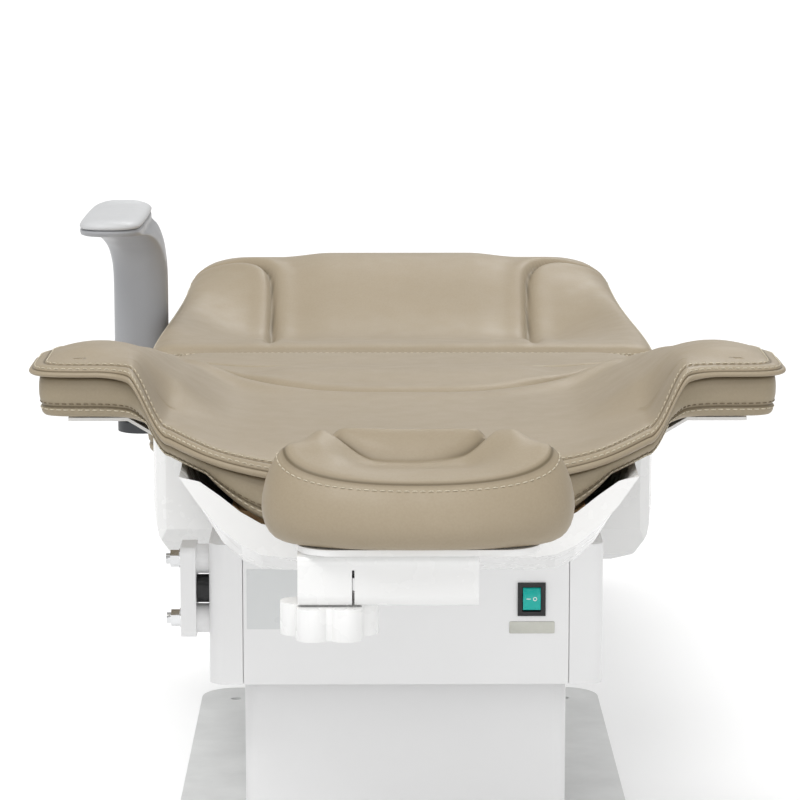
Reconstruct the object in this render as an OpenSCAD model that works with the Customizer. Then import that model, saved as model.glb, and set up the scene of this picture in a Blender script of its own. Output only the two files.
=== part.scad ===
// Reclining treatment chair with a column lift, a winged backrest that folds up from flat,
// a sliding and tilting headrest and one swing-out armrest.
// Millimetres, +Z up, +Y toward the feet. The origin is on the floor, on the column's axis.

/* [Lift] */
// Height of the seat surface above the floor, where seat and backrest meet
seat_h = 480; // [470:1:500]
// How far the lift lowers from this height
lift_down = 50; // [30:1:55]
// How far the lift rises from this height
lift_up = 250; // [150:5:250]
// Outside width of the outer column tube
column_w = 190; // [180:1:192]
// Wall of the column tubes
column_wall = 6; // [4:0.5:7]
// Gap between two column tubes, filled by the glides
glide_gap = 4; // [3:0.5:5]
// Running clearance of the glides
glide_play = 0.05; // [0.02:0.01:0.1]

/* [Base] */
// Width of the floor plate
plate_w = 460; // [420:5:500]
// Length of the floor plate
plate_len = 780; // [700:5:820]
// Thickness of the floor plate
plate_t = 12; // [10:1:14]
// Radius of the anchor holes
anchor_r = 6; // [5:0.5:7]
// Height of the fixed skirt's top above the floor
skirt_top = 262; // [250:1:264]

/* [Housing] */
// Width of the housing under the backrest
box_w = 361; // [356:1:366]
// Height of the housing's lower edge above the floor
box_bottom = 224; // [215:1:230]
// Distance of the rear panel from the column's axis
box_rear = 432; // [425:1:440]
// Distance of the front panel from the column's axis
box_front = 190; // [180:1:200]
// Wall of the housing covers
cover_t = 3; // [2.5:0.5:4]
// Width of the rear panel between its seams
rear_panel_w = 298; // [290:1:305]
// Width of the power switch
switch_w = 25.5; // [23:0.5:28]
// Height of the power switch
switch_tall = 31; // [28:0.5:33]

/* [Seat] */
// Width of the seat pad at the hips
hip_w = 526; // [520:1:528]
// Width of the seat pad at the knees
knee_w = 496; // [480:1:500]
// Width of the seat pad near the foot end
foot_w = 430; // [410:1:440]
// Depth of the sitting hollow
hollow_d = 34; // [24:1:38]
// Rise of the knee crest
crest_h = 32; // [24:1:40]
// Fall of the foot end
foot_fall = 70; // [60:1:80]
// Distance of the knee crest from the column's axis
crest_y = 435; // [420:5:450]
// Distance of the foot end from the column's axis
foot_y = 870; // [840:5:900]
// Thickness of the top pads at their edge
pad_t = 22; // [20:1:24]

/* [Backrest] */
// Depth of the back hinge below the seat surface
hinge_drop = 75; // [73:1:77]
// Distance of the back hinge from the column's axis, toward the head
hinge_back = 106; // [100:1:110]
// How far the backrest folds up from flat, in degrees
fold_angle = 70; // [50:1:72]
// Length of the backrest pad
back_len = 655; // [640:1:665]
// Width of the backrest at the waist
waist_w = 490; // [480:1:494]
// Width of the backrest across the wings
wing_w = 640; // [620:2:650]
// Width of the backrest at the neck
neck_w = 400; // [380:1:420]
// Rise of the wings above the middle
wing_rise = 68; // [60:1:74]
// Thickness of the boxed cushion in the middle
boxing_t = 28; // [26:1:30]

/* [Headrest] */
// Width of the headrest cushion
head_w = 240; // [230:1:250]
// Length of the headrest cushion
head_len = 132; // [124:1:134]
// Height of the headrest cushion at its front seam
head_t = 55; // [50:1:60]
// Width of the headrest bar
bar_w = 60; // [50:1:64]
// Thickness of the headrest bar
bar_t = 8; // [6:0.5:9]
// Radius of the lock knob
knob_r = 39; // [34:0.5:42]

/* [Armrest] */
// Distance of the armrest's swivel axis from the middle
arm_x = 291; // [290:1:298]
// Distance of the armrest's swivel axis from the column's axis
arm_y = 280; // [276:2:290]
// Height of the arm pad's top above the floor
arm_top = 594; // [584:1:630]
// Length of the arm pad
arm_pad_len = 240; // [220:2:250]
// Width of the arm pad
arm_pad_w = 68; // [60:1:74]
// Radius of the armrest post
post_r = 12; // [10:0.5:14]

/* [Hidden] */
$fn = 48;

fit = 0.05;           // radial clearance of a running fit
rest_gap = 0.3;       // gap between soft parts and what carries them
pad_gap = 0.8;        // gap between a top pad and the cushion under it
edge_steps = [0, 1.5, 5, 11];   // distances from a pad's edge where its rounding is drawn
wall_steps = [200, 178, 150, 85];   // distances from the middle where the backrest's wall bends

// Heights that follow from the seat
hinge_y = -hinge_back;
hinge_z = seat_h - hinge_drop;
pad_bottom = seat_h - pad_t;
base_bottom = pad_bottom - boxing_t;
back_board_t = 12;
seat_board_top = seat_h - 90;
seat_board_t = 12;
frame_top = seat_board_top - seat_board_t;
beam_h = 25;
beam_bottom = frame_top - beam_h;
flange_t = 8;
frame_low = beam_bottom - 50;   // lower edge of the frame's side plates
column_top = beam_bottom - flange_t;
box_top = hinge_z - 50;

// Columns
outer_half = column_w / 2;
mid_half = outer_half - column_wall - glide_gap;
inner_half = mid_half - column_wall - glide_gap;
column_foot = plate_t + 10;
outer_hold = 92;                // overlap of the outer and middle tubes at full height
inner_hold = 110;               // overlap of the middle and inner tubes at full height
mid_bottom = skirt_top - lift_up / 2 - outer_hold;
mid_top = column_top - lift_down / 2 - 10;
inner_bottom = mid_top - lift_up / 2 - inner_hold;
barrel_r = 30;
stage_r = 23;
rod_r = 16;
barrel_top = skirt_top - 12;
anchor_x = plate_w / 2 - 40;
anchor_y = plate_len / 2 - 50;
plate_mid_y = -20;
flange_bolt = 78;

// Skirt and housing
skirt_half = 150;
skirt_rear = 385;
skirt_front = 160;
box_half = box_w / 2;
box_r = 14;
switch_x = 114.7;
switch_z = box_top - 51;
rocker_tilt = 7;                // tilt of the rocker to either side

// Seat
hip_reach = 40;                 // reach of the backrest pad past the hinge
sweep_r = norm([hip_reach, hinge_drop]);
seat_rear = hinge_y + max(hip_reach + 12, hinge_drop * tan(fold_angle / 2)) + 11;
seat_base_rear = hinge_y + sweep_r - 3;
hollow_y = 225;
side_x = 150;                   // inside of the frame's side plates
side_t = 8;
seat_shell_half = 255;
seat_shell_bottom = seat_h - 221;
seat_wrap = 30;                 // how far the base cushion wraps down over the shell's rim
seat_shell_rim = seat_board_top - seat_wrap - 2;
leg_drop = 45;                  // fall of the board and rim at the foot end

// Backrest
back_front = hinge_y + hip_reach;
bush_flange = 0.3;
ear_r = 14;
pin_r = 6;
bush_wall = 2;
tube_r = 15;
rail_x = 134;                   // outside of the backrest's rails
rail_w = 38;
rail_bottom = hinge_z - 18;
rail_h = base_bottom - back_board_t - rest_gap - rail_bottom;
rail_rear = back_len - 215;     // length of the rails behind the hinge
sleeve_rear = back_len - 121;   // reach of the headrest bar's sleeve behind the hinge
slot_pin_r = 6;
slot_play = 3.6;                // side clearance of the pin in the lever's slot
lever_x = 116;
lever_t = 8;
lever_reach = 75;               // height of the hinge above the actuator's pin
lever_angle = fold_angle / 2;
actuator_z = hinge_z - lever_reach;
actuator_x = lever_x + lever_t / 2;
pin_y = hinge_y + lever_reach * tan(lever_angle);

// Headrest
head_gap = 24;
head_rear = back_front - back_len - head_gap;
head_z = seat_h - 38;
bar_z = hinge_z;
tilt_a_y = head_rear;
tilt_b_y = head_rear - 70;
tilt_b_z = bar_z + 10;
eye_r = 12;
link_pin_r = 5;
link_w = 30;
block_bottom = head_z - 48;
block_top = head_z - 5;
head_shift = 6;                 // offset of the headrest from the middle
block_left = head_shift - 94.5;
block_split = head_shift - 51;
block_right = head_shift + 47;
knob_x = head_shift - 70;
knob_y = tilt_b_y - 6;
knob_h = 26;

// Armrest
arm_t = 20;
arm_out = 20;                    // offset of the pad from the swivel axis, outward
arm_bottom = arm_top - arm_t;
arm_column_w = 60;
arm_column_r = 22;
arm_seat_z = beam_bottom - 5;
arm_foot_z = arm_seat_z + 2.3;
post_top = arm_foot_z + 170;

// ---------- functions ----------

function clamp(t) = min(1, max(0, t));
function ease(t) = clamp(t) * clamp(t) * (3 - 2 * clamp(t));
// Drop of a surface near its edge, a quarter circle of radius r, at distance d from the edge
function edge_fall(d, r) = d >= r ? 0 : r - sqrt(r * r - pow(r - max(d, 0), 2));
// A row of places left of the middle, carried over to the right
function mirrored(left) = concat(left, [0], [for (i = [len(left) - 1:-1:0]) -left[i]]);
// Columns across a pad of half width w: close together near both edges, even between them
function columns(w, inner) = let (
        first = -w + edge_steps[3],
        edge = [for (d = edge_steps) -w + d],
        middle = [for (i = [1:inner]) first * (1 - i / (inner + 1))]
    ) mirrored(concat(edge, middle));
// The same across the backrest, where the inner columns keep their places
function back_columns(w) = let (
        first = -w + edge_steps[3],
        edge = [for (d = edge_steps) -w + d],
        kept = [for (x = wall_steps) max(-x, first + 2 + (wall_steps[0] - x) / 3)]
    ) mirrored(concat(edge, [max(-240, (first + kept[0]) / 2)], kept));
// Columns of a solid that lies under a pad and is drawn in: its edge, then the pad's columns
function under_columns(xs, edge) =
    mirrored(concat([-edge], [for (x = xs) if (x > -edge + 1 && x < -1) x]));
// One closed ring across a pad: along its top, then back along its bottom
function ring(y, w, xs, top, bottom, sag, slant) = concat(
        [for (x = xs) [x, y + sag * pow(x / w, 2), top(x, y)]],
        [for (i = [len(xs) - 1:-1:0])
            let (x = xs[i]) [x, y + slant + sag * pow(x / w, 2), bottom(x, y)]]
    );

// Half width of the backrest at distance s from its hip end
function wing_tip(s) = s < back_len - 140 ? wing_w / 2
    : wing_w / 2 - 25 + sqrt(max(0, 625 - pow(s - (back_len - 140), 2)));
function back_half(s) = let (wing_end = back_len - 115) s <= wing_end
    ? min(wing_tip(s), waist_w / 2 + (wing_w - waist_w) / 2 * ease((s - 244) / 104))
        - 36 * pow(1 - clamp(s / 45), 2)
    : neck_w / 2 + 42 - 50 * ease((s - wing_end) / 95) - 30 * pow(clamp((s - wing_end - 70) / 45), 2);
// Distance of a point from the backrest's outline
function back_inset(x, s) = let (wing_end = back_len - 114)
    min(back_half(s) - abs(x), s, back_len - s, abs(x) > neck_w / 2 + 38 ? wing_end - s : 99);
// Height of the backrest's surface over the middle plane
function back_turn(s) = let (t = clamp((s - 60) / 390)) t * (1.4 - 0.4 * t);
function back_rise(x, s) = wing_rise * back_turn(s)
    * (0.34 * pow(clamp((abs(x) - 80) / 120), 1.6) + 0.66 * ease((abs(x) - 201) / 37));
function back_under(x, s) = (wing_rise + 3) * back_turn(s) * ease((abs(x) - 105) / 120);
// Height of the base cushion's underside: thin where the wings turn up
function back_low(x, s) = min(base_bottom + back_under(x, s), pad_bottom + back_rise(x, s) - 4);
// The lumbar crease runs across the middle and forward along both sides
function crease_s(x) = 290 - 150 * pow(clamp((abs(x) - 40) / 190), 2);
function back_top(x, s) = seat_h + back_rise(x, s)
    + 6 * (1 - ease((abs(x) - 90) / 70)) * ease((s - 90) / 70) * ease((back_len - s) / 70)
    + 5 * exp(-pow((s - 210) / 50, 2)) * (1 - ease((abs(x) - 110) / 60))
    - 5 * exp(-pow((s - crease_s(x)) / 14, 2))
    - edge_fall(back_inset(x, s), pad_t / 2 - 0.5);

// Half width of the seat at distance y from the column's axis
function seat_half(y) = hip_w / 2
    - (hip_w - knee_w) / 2 * ease(y / crest_y)
    - (knee_w - foot_w) / 2 * ease((y - crest_y) / (foot_y - crest_y))
    - edge_fall(foot_y - y, 60) * 0.8
    - edge_fall(y - seat_rear, 22) * 0.9;
function seat_line(y) = seat_h
    - hollow_d * ease((y - seat_rear) / (hollow_y - seat_rear))
    + (hollow_d + crest_h) * ease((y - hollow_y) / (crest_y - hollow_y))
    - (crest_h + foot_fall) * pow(clamp((y - crest_y) / (foot_y - crest_y)), 1.4);
function groove_x(y) = 138 + 10 * clamp(y / crest_y) + 34 * ease((y - crest_y) / 60);
// The sides stay level beside the hollow, as bolsters, and round off at the knee crest
function side_rise(y) = y > crest_y ? -24 + 14 * ease((y - crest_y) / 150)
    : seat_h - 2 + 10 * clamp(y / crest_y) - seat_line(y);
function seat_smooth(x, y) = seat_line(y) + side_rise(y)
    * pow(clamp((abs(x) - groove_x(y)) / max(20, seat_half(y) - groove_x(y))),
        side_rise(y) > 0 ? 1.5 : 2);
function seat_top(x, y) = seat_smooth(x, y)
    + 5 * (1 - ease((abs(x) - 80) / 60)) * ease((y - 20) / 100) * ease((foot_y - y) / 100)
    - 6 * exp(-pow((abs(x) - groove_x(y)) / 9, 2)) * ease((y - 60) / 100) * (1 - ease((y - 560) / 90))
    - edge_fall(min(seat_half(y) - abs(x), y - seat_rear, foot_y - y), pad_t / 2 - 0.5);
function board_line(y) = seat_board_top - leg_drop * clamp((y - crest_y) / (foot_y - crest_y));

// Headrest surface: a rim round the front and sides, a bowl in the middle, a roll at the neck
function head_half(y) = let (t = (y - (head_rear - head_len)) / head_len)
    head_w / 2 * (0.55 + 0.45 * sqrt(1 - pow(1 - clamp(t / 0.5), 2)))
        - 10 * ease((t - 0.55) / 0.45);
function head_inset(x, y) = min(head_half(y) - abs(x), y - (head_rear - head_len), head_rear - y);
function head_top(x, y) = let (t = (y - (head_rear - head_len)) / head_len, u = x / head_w * 2)
    head_z + head_t + 26 * ease(t / 0.95) - 10 * pow(u, 2)
    - 9 * exp(-pow((t - 0.62) / 0.28, 2) - pow(u / 0.5, 4))
    - edge_fall(head_inset(x, y), 22);
function head_bottom(x, y) = head_z + rest_gap + edge_fall(head_inset(x, y), 20);

// ---------- shared shapes ----------

// Closed solid through rings with equal numbers of points, in the order of rising Y. The lower
// half is split along the same diagonals as the upper, so that stacked solids match.
module loft(rings) {
    n = len(rings[0]);
    m = len(rings);
    last = (m - 1) * n;
    sides = [for (i = [0:m - 2], j = [0:n - 1])
        let (a = i * n + j, b = i * n + (j + 1) % n)
        each j < n / 2 ? [[a, a + n, b + n], [a, b + n, b]] : [[a, a + n, b], [b, a + n, b + n]]];
    near = [for (j = [0:n / 2 - 2])
        each [[j, j + 1, n - 2 - j], [j, n - 2 - j, n - 1 - j]]];
    far = [for (f = near) [last + f[2], last + f[1], last + f[0]]];
    polyhedron([for (r = rings) each r], concat(sides, near, far), convexity = 6);
}

// Outline in the YZ plane, extruded t along X from x
module side_plate(x, t) {
    translate([x, 0, 0]) rotate([90, 0, 90]) linear_extrude(t) children();
}

// Outline in the XZ plane, extruded t along Y from y
module cross_plate(y, t) {
    translate([0, y + t, 0]) rotate([90, 0, 0]) linear_extrude(t) children();
}

// Cylinder along X
module bar_x(x, y, z, r, length) {
    translate([x, y, z]) rotate([0, 90, 0]) cylinder(h = length, r = r);
}

// Cylinder along Y
module bar_y(x, y, z, r, length) {
    translate([x, y, z]) rotate([-90, 0, 0]) cylinder(h = length, r = r);
}

module block(x0, x1, y0, y1, z0, z1) {
    translate([x0, y0, z0]) cube([x1 - x0, y1 - y0, z1 - z0]);
}

// Rectangle with round corners, between two corners
module rounded(x0, x1, y0, y1, r) {
    translate([x0 + r, y0]) square([x1 - x0 - 2 * r, y1 - y0]);
    translate([x0, y0 + r]) square([x1 - x0, y1 - y0 - 2 * r]);
    for (x = [x0 + r, x1 - r], y = [y0 + r, y1 - r]) translate([x, y]) circle(r);
}

module rounded_block(x0, x1, y0, y1, z0, z1, r) {
    translate([0, 0, z0]) linear_extrude(z1 - z0) rounded(x0, x1, y0, y1, r);
}

module both_sides() {
    children();
    mirror([1, 0, 0]) children();
}

module square_tube(half, wall, z0, z1) {
    difference() {
        rounded_block(-half, half, -half, half, z0, z1, 12);
        rounded_block(-half + wall, half - wall, -half + wall, half - wall, z0 - 1, z1 + 1, 7);
    }
}

// Four flat glides on the faces of a square, from half width a to half width b
module glide_ring(a, b, z0, z1) {
    for (turn = [0:90:270]) rotate([0, 0, turn]) block(a, b, -40, 40, z0, z1);
}

module hex_bolt(r, head, shank) {
    cylinder(h = r * 1.2, r = r * 1.9, $fn = 6);
    translate([0, 0, -shank]) cylinder(h = shank + 0.5, r = r);
    cylinder(h = r * 0.25, r = head);
}

// ---------- base ----------

module base_plate() {
    color("dimgray") difference() {
        rounded_block(-plate_w / 2, plate_w / 2, plate_mid_y - plate_len / 2,
            plate_mid_y + plate_len / 2, 0, plate_t, 40);
        for (x = [-anchor_x, anchor_x], y = [plate_mid_y - anchor_y, plate_mid_y + anchor_y])
            translate([x, y, -1]) cylinder(h = plate_t + 2, r = anchor_r);
        for (x = [-1, 1], y = [-1, 1])
            translate([x * (outer_half + 14), y * (outer_half + 14), 2]) cylinder(h = plate_t, r = 5);
    }
}

module column_outer() {
    color("silver") difference() {
        union() {
            square_tube(outer_half, column_wall, column_foot - 1, skirt_top);
            rounded_block(-outer_half - 26, outer_half + 26, -outer_half - 26, outer_half + 26,
                plate_t, column_foot, 10);
        }
        block(-mid_half, mid_half, -mid_half, mid_half, plate_t - 1, column_foot + 1);
        for (x = [-1, 1], y = [-1, 1])
            translate([x * (outer_half + 14), y * (outer_half + 14), 2]) cylinder(h = 30, r = 5);
        block(-4, 4, -outer_half - 30, -mid_half + 1, plate_t - 1, plate_t + 8);
    }
}

module column_bolts() {
    color("gainsboro") for (x = [-1, 1], y = [-1, 1])
        translate([x * (outer_half + 14), y * (outer_half + 14), column_foot])
            hex_bolt(5, 10, column_foot - 2);
}

module outer_glides() {
    color("ivory")
        glide_ring(mid_half + glide_play, outer_half - column_wall, skirt_top - 30, skirt_top - 2);
}

module lift_cylinder() {
    color("slategray") difference() {
        translate([0, 0, plate_t]) cylinder(h = barrel_top - plate_t, r = barrel_r);
        translate([0, 0, plate_t + 4]) cylinder(h = barrel_top, r = stage_r + fit);
    }
}

module base_skirt() {
    color("white") difference() {
        rounded_block(-skirt_half, skirt_half, -skirt_rear, skirt_front, plate_t, skirt_top, 12);
        rounded_block(-skirt_half + cover_t, skirt_half - cover_t, -skirt_rear + cover_t,
            skirt_front - cover_t, plate_t - 1, skirt_top + 1, 9);
    }
}

pump_y = -330;

module hydraulic_pump() {
    color("dimgray") {
        block(-55, 55, pump_y, pump_y + 60, plate_t, plate_t + 110);
        bar_y(0, pump_y + 60, plate_t + 58, 42, 110);
        block(-30, 30, pump_y + 70, pump_y + 160, plate_t, plate_t + 30);
    }
}

module hydraulic_line() {
    color("black") bar_y(0, pump_y + 160, plate_t + 4, 3, -pump_y - 160 - barrel_r);
}

// ---------- middle stage ----------

module column_mid() {
    color("silver") square_tube(mid_half, column_wall, mid_bottom, mid_top);
}

module mid_glides() {
    color("ivory") {
        glide_ring(inner_half + glide_play, mid_half - column_wall, mid_top - 30, mid_top - 2);
        glide_ring(mid_half, outer_half - column_wall - glide_play, mid_bottom + 2, mid_bottom + 28);
    }
}

module lift_stage() {
    color("gainsboro") difference() {
        translate([0, 0, mid_bottom]) cylinder(h = mid_top - mid_bottom - 6, r = stage_r);
        translate([0, 0, mid_bottom + 4]) cylinder(h = mid_top, r = rod_r + fit);
    }
}

// ---------- lifted part: column, frame and seat ----------

module column_inner() {
    color("silver") difference() {
        union() {
            square_tube(inner_half, column_wall, inner_bottom, column_top + 1);
            rounded_block(-outer_half, outer_half, -outer_half, outer_half, column_top,
                beam_bottom, 10);
        }
        for (x = [-1, 1], y = [-1, 1])
            translate([x * flange_bolt, y * flange_bolt, column_top - 1]) cylinder(h = 12, r = 5);
        translate([0, 0, column_top - 1]) cylinder(h = 12, r = 9);
    }
}

module inner_glides() {
    color("ivory")
        glide_ring(inner_half, mid_half - column_wall - glide_play, inner_bottom + 2,
            inner_bottom + 28);
}

module lift_rod() {
    color("gainsboro") {
        translate([0, 0, inner_bottom]) cylinder(h = column_top - inner_bottom, r = rod_r);
        translate([0, 0, column_top - 1]) cylinder(h = flange_t + 1, r = 9);
    }
}

// Outline of one side plate: ear round the hinge, low neck, deep middle, leg rail
module side_outline() {
    difference() {
        union() {
            translate([hinge_y, hinge_z]) circle(ear_r);
            polygon([
                [hinge_y - ear_r, hinge_z], [hinge_y + ear_r, hinge_z],
                [hinge_y + ear_r, hinge_z - 34], [hinge_y + 92, hinge_z - 34],
                [hinge_y + 92, frame_top], [crest_y, frame_top],
                [foot_y - 40, board_line(foot_y - 40) - seat_board_t],
                [foot_y - 40, board_line(foot_y - 40) - seat_board_t - 22],
                [crest_y, beam_bottom - 30], [arm_y + 60, frame_low],
                [hinge_y + 20, frame_low], [hinge_y - ear_r, beam_bottom - 10]
            ]);
        }
        translate([hinge_y, hinge_z]) circle(pin_r);
    }
}

module seat_frame() {
    color("dimgray") {
        both_sides() side_plate(side_x, side_t) side_outline();
        difference() {
            for (y = [-flange_bolt, flange_bolt])
                block(-side_x, side_x, y - 20, y + 20, beam_bottom, frame_top);
            for (x = [-flange_bolt, flange_bolt], y = [-flange_bolt, flange_bolt])
                translate([x, y, beam_bottom - 1]) cylinder(h = beam_h + 2, r = 5);
            block(lever_x - 10, lever_x + lever_t + 10, -flange_bolt - 21, -flange_bolt + 21,
                beam_bottom - 1, frame_top + 1);
        }
        block(-side_x, side_x, crest_y - 70, crest_y - 30, beam_bottom, frame_top);
        block(-side_x, side_x, foot_y - 90, foot_y - 60, board_line(foot_y - 60) - seat_board_t - 20,
            board_line(foot_y - 60) - seat_board_t);
    }
}

module frame_bolts() {
    color("gainsboro") for (x = [-flange_bolt, flange_bolt], y = [-flange_bolt, flange_bolt])
        translate([x, y, column_top]) mirror([0, 0, 1]) hex_bolt(5, 9, flange_t + beam_h - 2);
}

module seat_board() {
    plan_end = foot_y - 20;
    color("burlywood") intersection() {
        side_plate(-220, 440) polygon([
            [hinge_y + 92, seat_board_top], [crest_y, seat_board_top],
            [plan_end, board_line(plan_end)], [plan_end, board_line(plan_end) - seat_board_t],
            [crest_y, frame_top], [hinge_y + 92, frame_top]
        ]);
        linear_extrude(seat_h) polygon([
            [-hip_w / 2 + 55, hinge_y + 92], [hip_w / 2 - 55, hinge_y + 92],
            [knee_w / 2 - 52, crest_y], [foot_w / 2 - 45, plan_end],
            [-foot_w / 2 + 45, plan_end], [-knee_w / 2 + 52, crest_y]
        ]);
    }
}

// The seat shell's solid, drawn in by e: plan, side and cross outlines cut with each other
module seat_shell_solid(e) {
    half = seat_shell_half - e;
    rear = hinge_y + 11 + e;
    front = foot_y - 2 - e;
    bottom = seat_shell_bottom + e;
    lift = e > 0 ? 20 : 0;
    intersection() {
        side_plate(-300, 600) polygon([
            [rear, bottom + 40], [rear + 12, bottom + 12], [rear + 40, bottom], [300, bottom],
            [crest_y + 100, bottom + 14], [front - 20, board_line(front) - 40 + e],
            [front, board_line(front) - 22 + e], [front, board_line(front) - 2 + lift],
            [crest_y + 20, board_line(crest_y + 20) - 2 + lift],
            [crest_y - 135, seat_shell_rim + lift], [seat_base_rear - 6, seat_shell_rim + lift],
            [seat_base_rear - 6, seat_board_top + 4 + lift], [rear, seat_board_top + 4 + lift]
        ]);
        cross_plate(-400, 1400) polygon([
            [-half, 600], [-half, bottom + 62], [-half + 6, bottom + 32], [-half + 20, bottom + 10],
            [-half + 40, bottom], [half - 40, bottom], [half - 20, bottom + 10],
            [half - 6, bottom + 32], [half, bottom + 62], [half, 600]
        ]);
        linear_extrude(600) polygon([
            [-half + 14, rear], [half - 14, rear], [half - 4, rear + 10], [half, rear + 30],
            [half - 2, 120], [knee_w / 2 - 4 - e, crest_y], [foot_w / 2 - 4 - e, front - 50],
            [foot_w / 2 - 20 - e, front - 12], [foot_w / 2 - 50, front], [-foot_w / 2 + 50, front],
            [-foot_w / 2 + 20 + e, front - 12], [-foot_w / 2 + 4 + e, front - 50],
            [-knee_w / 2 + 4 + e, crest_y], [-half + 2, 120], [-half, rear + 30],
            [-half + 4, rear + 10]
        ]);
    }
}

module seat_shell() {
    color("white") difference() {
        seat_shell_solid(0);
        seat_shell_solid(cover_t);
        block(-box_half - 0.2, box_half + 0.2, -300, box_front + 0.2, 0, 600);
        block(-300, 0, arm_y - 26, arm_y + 26, arm_seat_z - 13, arm_seat_z + 1);
    }
}

// Rows along the seat pad, close together at both ends and with one on the knee crest
seat_rows = let (
        first = seat_rear + 22,
        last = foot_y - 40
    ) concat([for (d = [0, 1.5, 5, 11]) seat_rear + d],
        [for (i = [0:10]) first + (crest_y - first) * i / 11],
        [for (i = [0:8]) crest_y + (last - crest_y) * i / 9],
        [for (d = [40, 22, 11, 5, 1.5, 0]) foot_y - d]);

module seat_base_cushion() {
    end = foot_y - 14;
    reach = function (y) 6 - 5 * exp(-pow((y - arm_y) / 60, 2));  // less where the armrest swings
    rows = concat([seat_base_rear], [for (y = seat_rows) if (y > seat_base_rear + 5 && y < end - 2) y],
        [end]);
    side = function (x, y) edge_fall(seat_half(y) + reach(y) - abs(x), 8);
    top = function (x, y) seat_smooth(x, y) - pad_t - pad_gap - side(x, y);
    bottom = function (x, y) board_line(y) + rest_gap + side(x, y)
        - seat_wrap * ease((abs(x) - seat_half(y) + 51) / 40) * (1 - ease((y - crest_y + 135) / 150));
    color("tan") loft([for (y = rows)
        let (w = seat_half(y), inner = [for (x = columns(w, 5)) if (x > 12 - w && x < -1) x],
            xs = mirrored(concat([-w - reach(y), -w + edge_steps[3]], inner)))
        ring(y, w, xs, top, bottom, 0, 9 * (1 - ease((y - seat_base_rear) / 60)))]);
}

module seat_cushion() {
    bottom = function (x, y) seat_smooth(x, y) - pad_t
        + edge_fall(min(seat_half(y) - abs(x), y - seat_rear, foot_y - y), pad_t / 2 - 0.5);
    color("tan") loft([for (y = seat_rows)
        let (w = seat_half(y))
        ring(y, w, columns(w, 5), function (x, y) seat_top(x, y), bottom, 0,
            13 * (1 - ease((y - seat_rear) / 80)))]);
}

// ---------- housing ----------

// Solid of the housing with round upright corners, drawn in by e
module housing(e) {
    rounded_block(-box_half + e, box_half - e, -box_rear + e, box_front - e,
        box_bottom - (e > 0 ? 1 : 0), box_top, box_r - e);
}

module housing_walls() {
    difference() {
        housing(0);
        housing(cover_t);
        block(-300, 300, hinge_y - 20, box_front + 1, frame_low - 1, 600);
    }
}

module box_rear_panel() {
    seam = rear_panel_w / 2;
    color("white") difference() {
        intersection() {
            housing_walls();
            block(-seam, seam, -box_rear - 1, -box_rear + cover_t, 0, 600);
        }
        block(switch_x - 11, switch_x + 11, -box_rear - 1, -box_rear + 10, switch_z - 13.5,
            switch_z + 13.5);
    }
}

module side_cover() {
    seam = rear_panel_w / 2 + 0.6;
    difference() {
        housing_walls();
        block(-400, seam, -box_rear - 1, 400, 0, 600);
        block(-400, 400, box_front - cover_t - 0.4, 400, 0, 600);
    }
    block(seam - 10, seam + 2, -box_rear + cover_t, -box_rear + cover_t + 2, box_bottom,
        box_top - cover_t - rest_gap);
}

module box_right_cover() {
    color("white") side_cover();
}

module box_left_cover() {
    color("white") difference() {
        mirror([1, 0, 0]) side_cover();
        for (y = mount_ys, z = mount_zs) bar_x(-box_half - 5, y, z, mount_boss_r, 10);
    }
}

module box_front_panel() {
    color("white") intersection() {
        housing_walls();
        block(-400, 400, box_front - cover_t, 400, 0, 600);
    }
}

module box_top_cover() {
    half = box_half - cover_t;
    color("white") rounded_block(-half, half, -box_rear + cover_t, hinge_y - 125,
        box_top - cover_t, box_top, box_r - cover_t);
}

supply_y = -box_rear + 56;

module power_supply() {
    color("silver") {
        block(-120, -10, supply_y, supply_y + 90, box_top - cover_t - 48, box_top - cover_t);
    }
}

module control_board() {
    color("darkgreen") {
        block(5, 125, supply_y, supply_y + 100, box_top - cover_t - 12, box_top - cover_t - 10);
        for (x = [12, 118], y = [8, 92])
            translate([x, supply_y + y, box_top - cover_t - 10]) cylinder(h = 10, r = 3);
        block(20, 60, supply_y + 20, supply_y + 50, box_top - cover_t - 26, box_top - cover_t - 12);
    }
}

module switch_housing() {
    color("black") difference() {
        union() {
            block(switch_x - switch_w / 2, switch_x + switch_w / 2, -box_rear - 2, -box_rear,
                switch_z - switch_tall / 2, switch_z + switch_tall / 2);
            block(switch_x - 11, switch_x + 11, -box_rear, -box_rear + 22, switch_z - 13.5,
                switch_z + 13.5);
        }
        block(switch_x - 8.5, switch_x + 8.5, -box_rear - 3, -box_rear + 12, switch_z - 11.5,
            switch_z + 11.5);
        bar_x(switch_x - 10.5, -box_rear + 4, switch_z, 1.5 + fit, 21);
    }
}

// Rests tilted to its OFF side
module power_rocker() {
    color("teal") translate([switch_x, -box_rear + 4, switch_z]) rotate([-rocker_tilt, 0, 0]) {
        intersection() {
            bar_x(-8, 10, 0, 19, 16);
            block(-8, 8, -9, 3, -10.2, 10.2);
        }
        bar_x(-10, 0, 0, 1.5, 20);
    }
}

// ---------- side bracket for an accessory unit ----------

mount_plate_x = -box_half - 26;
mount_plate_t = 14;
mount_y0 = -box_rear + 8;
mount_y1 = mount_y0 + 44;
mount_z1 = box_top - 5;
mount_z0 = mount_z1 - (box_top - box_bottom) / 2 - 18.5;
mount_zs = [mount_z0 + 14, mount_z1 - 14];
mount_ys = [(mount_y0 + mount_y1) / 2];
hose_r = 13;
mount_boss_r = 13.5;
mount_bolt_r = 5;
mount_arm_x = -side_x - side_t - 8;

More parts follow.
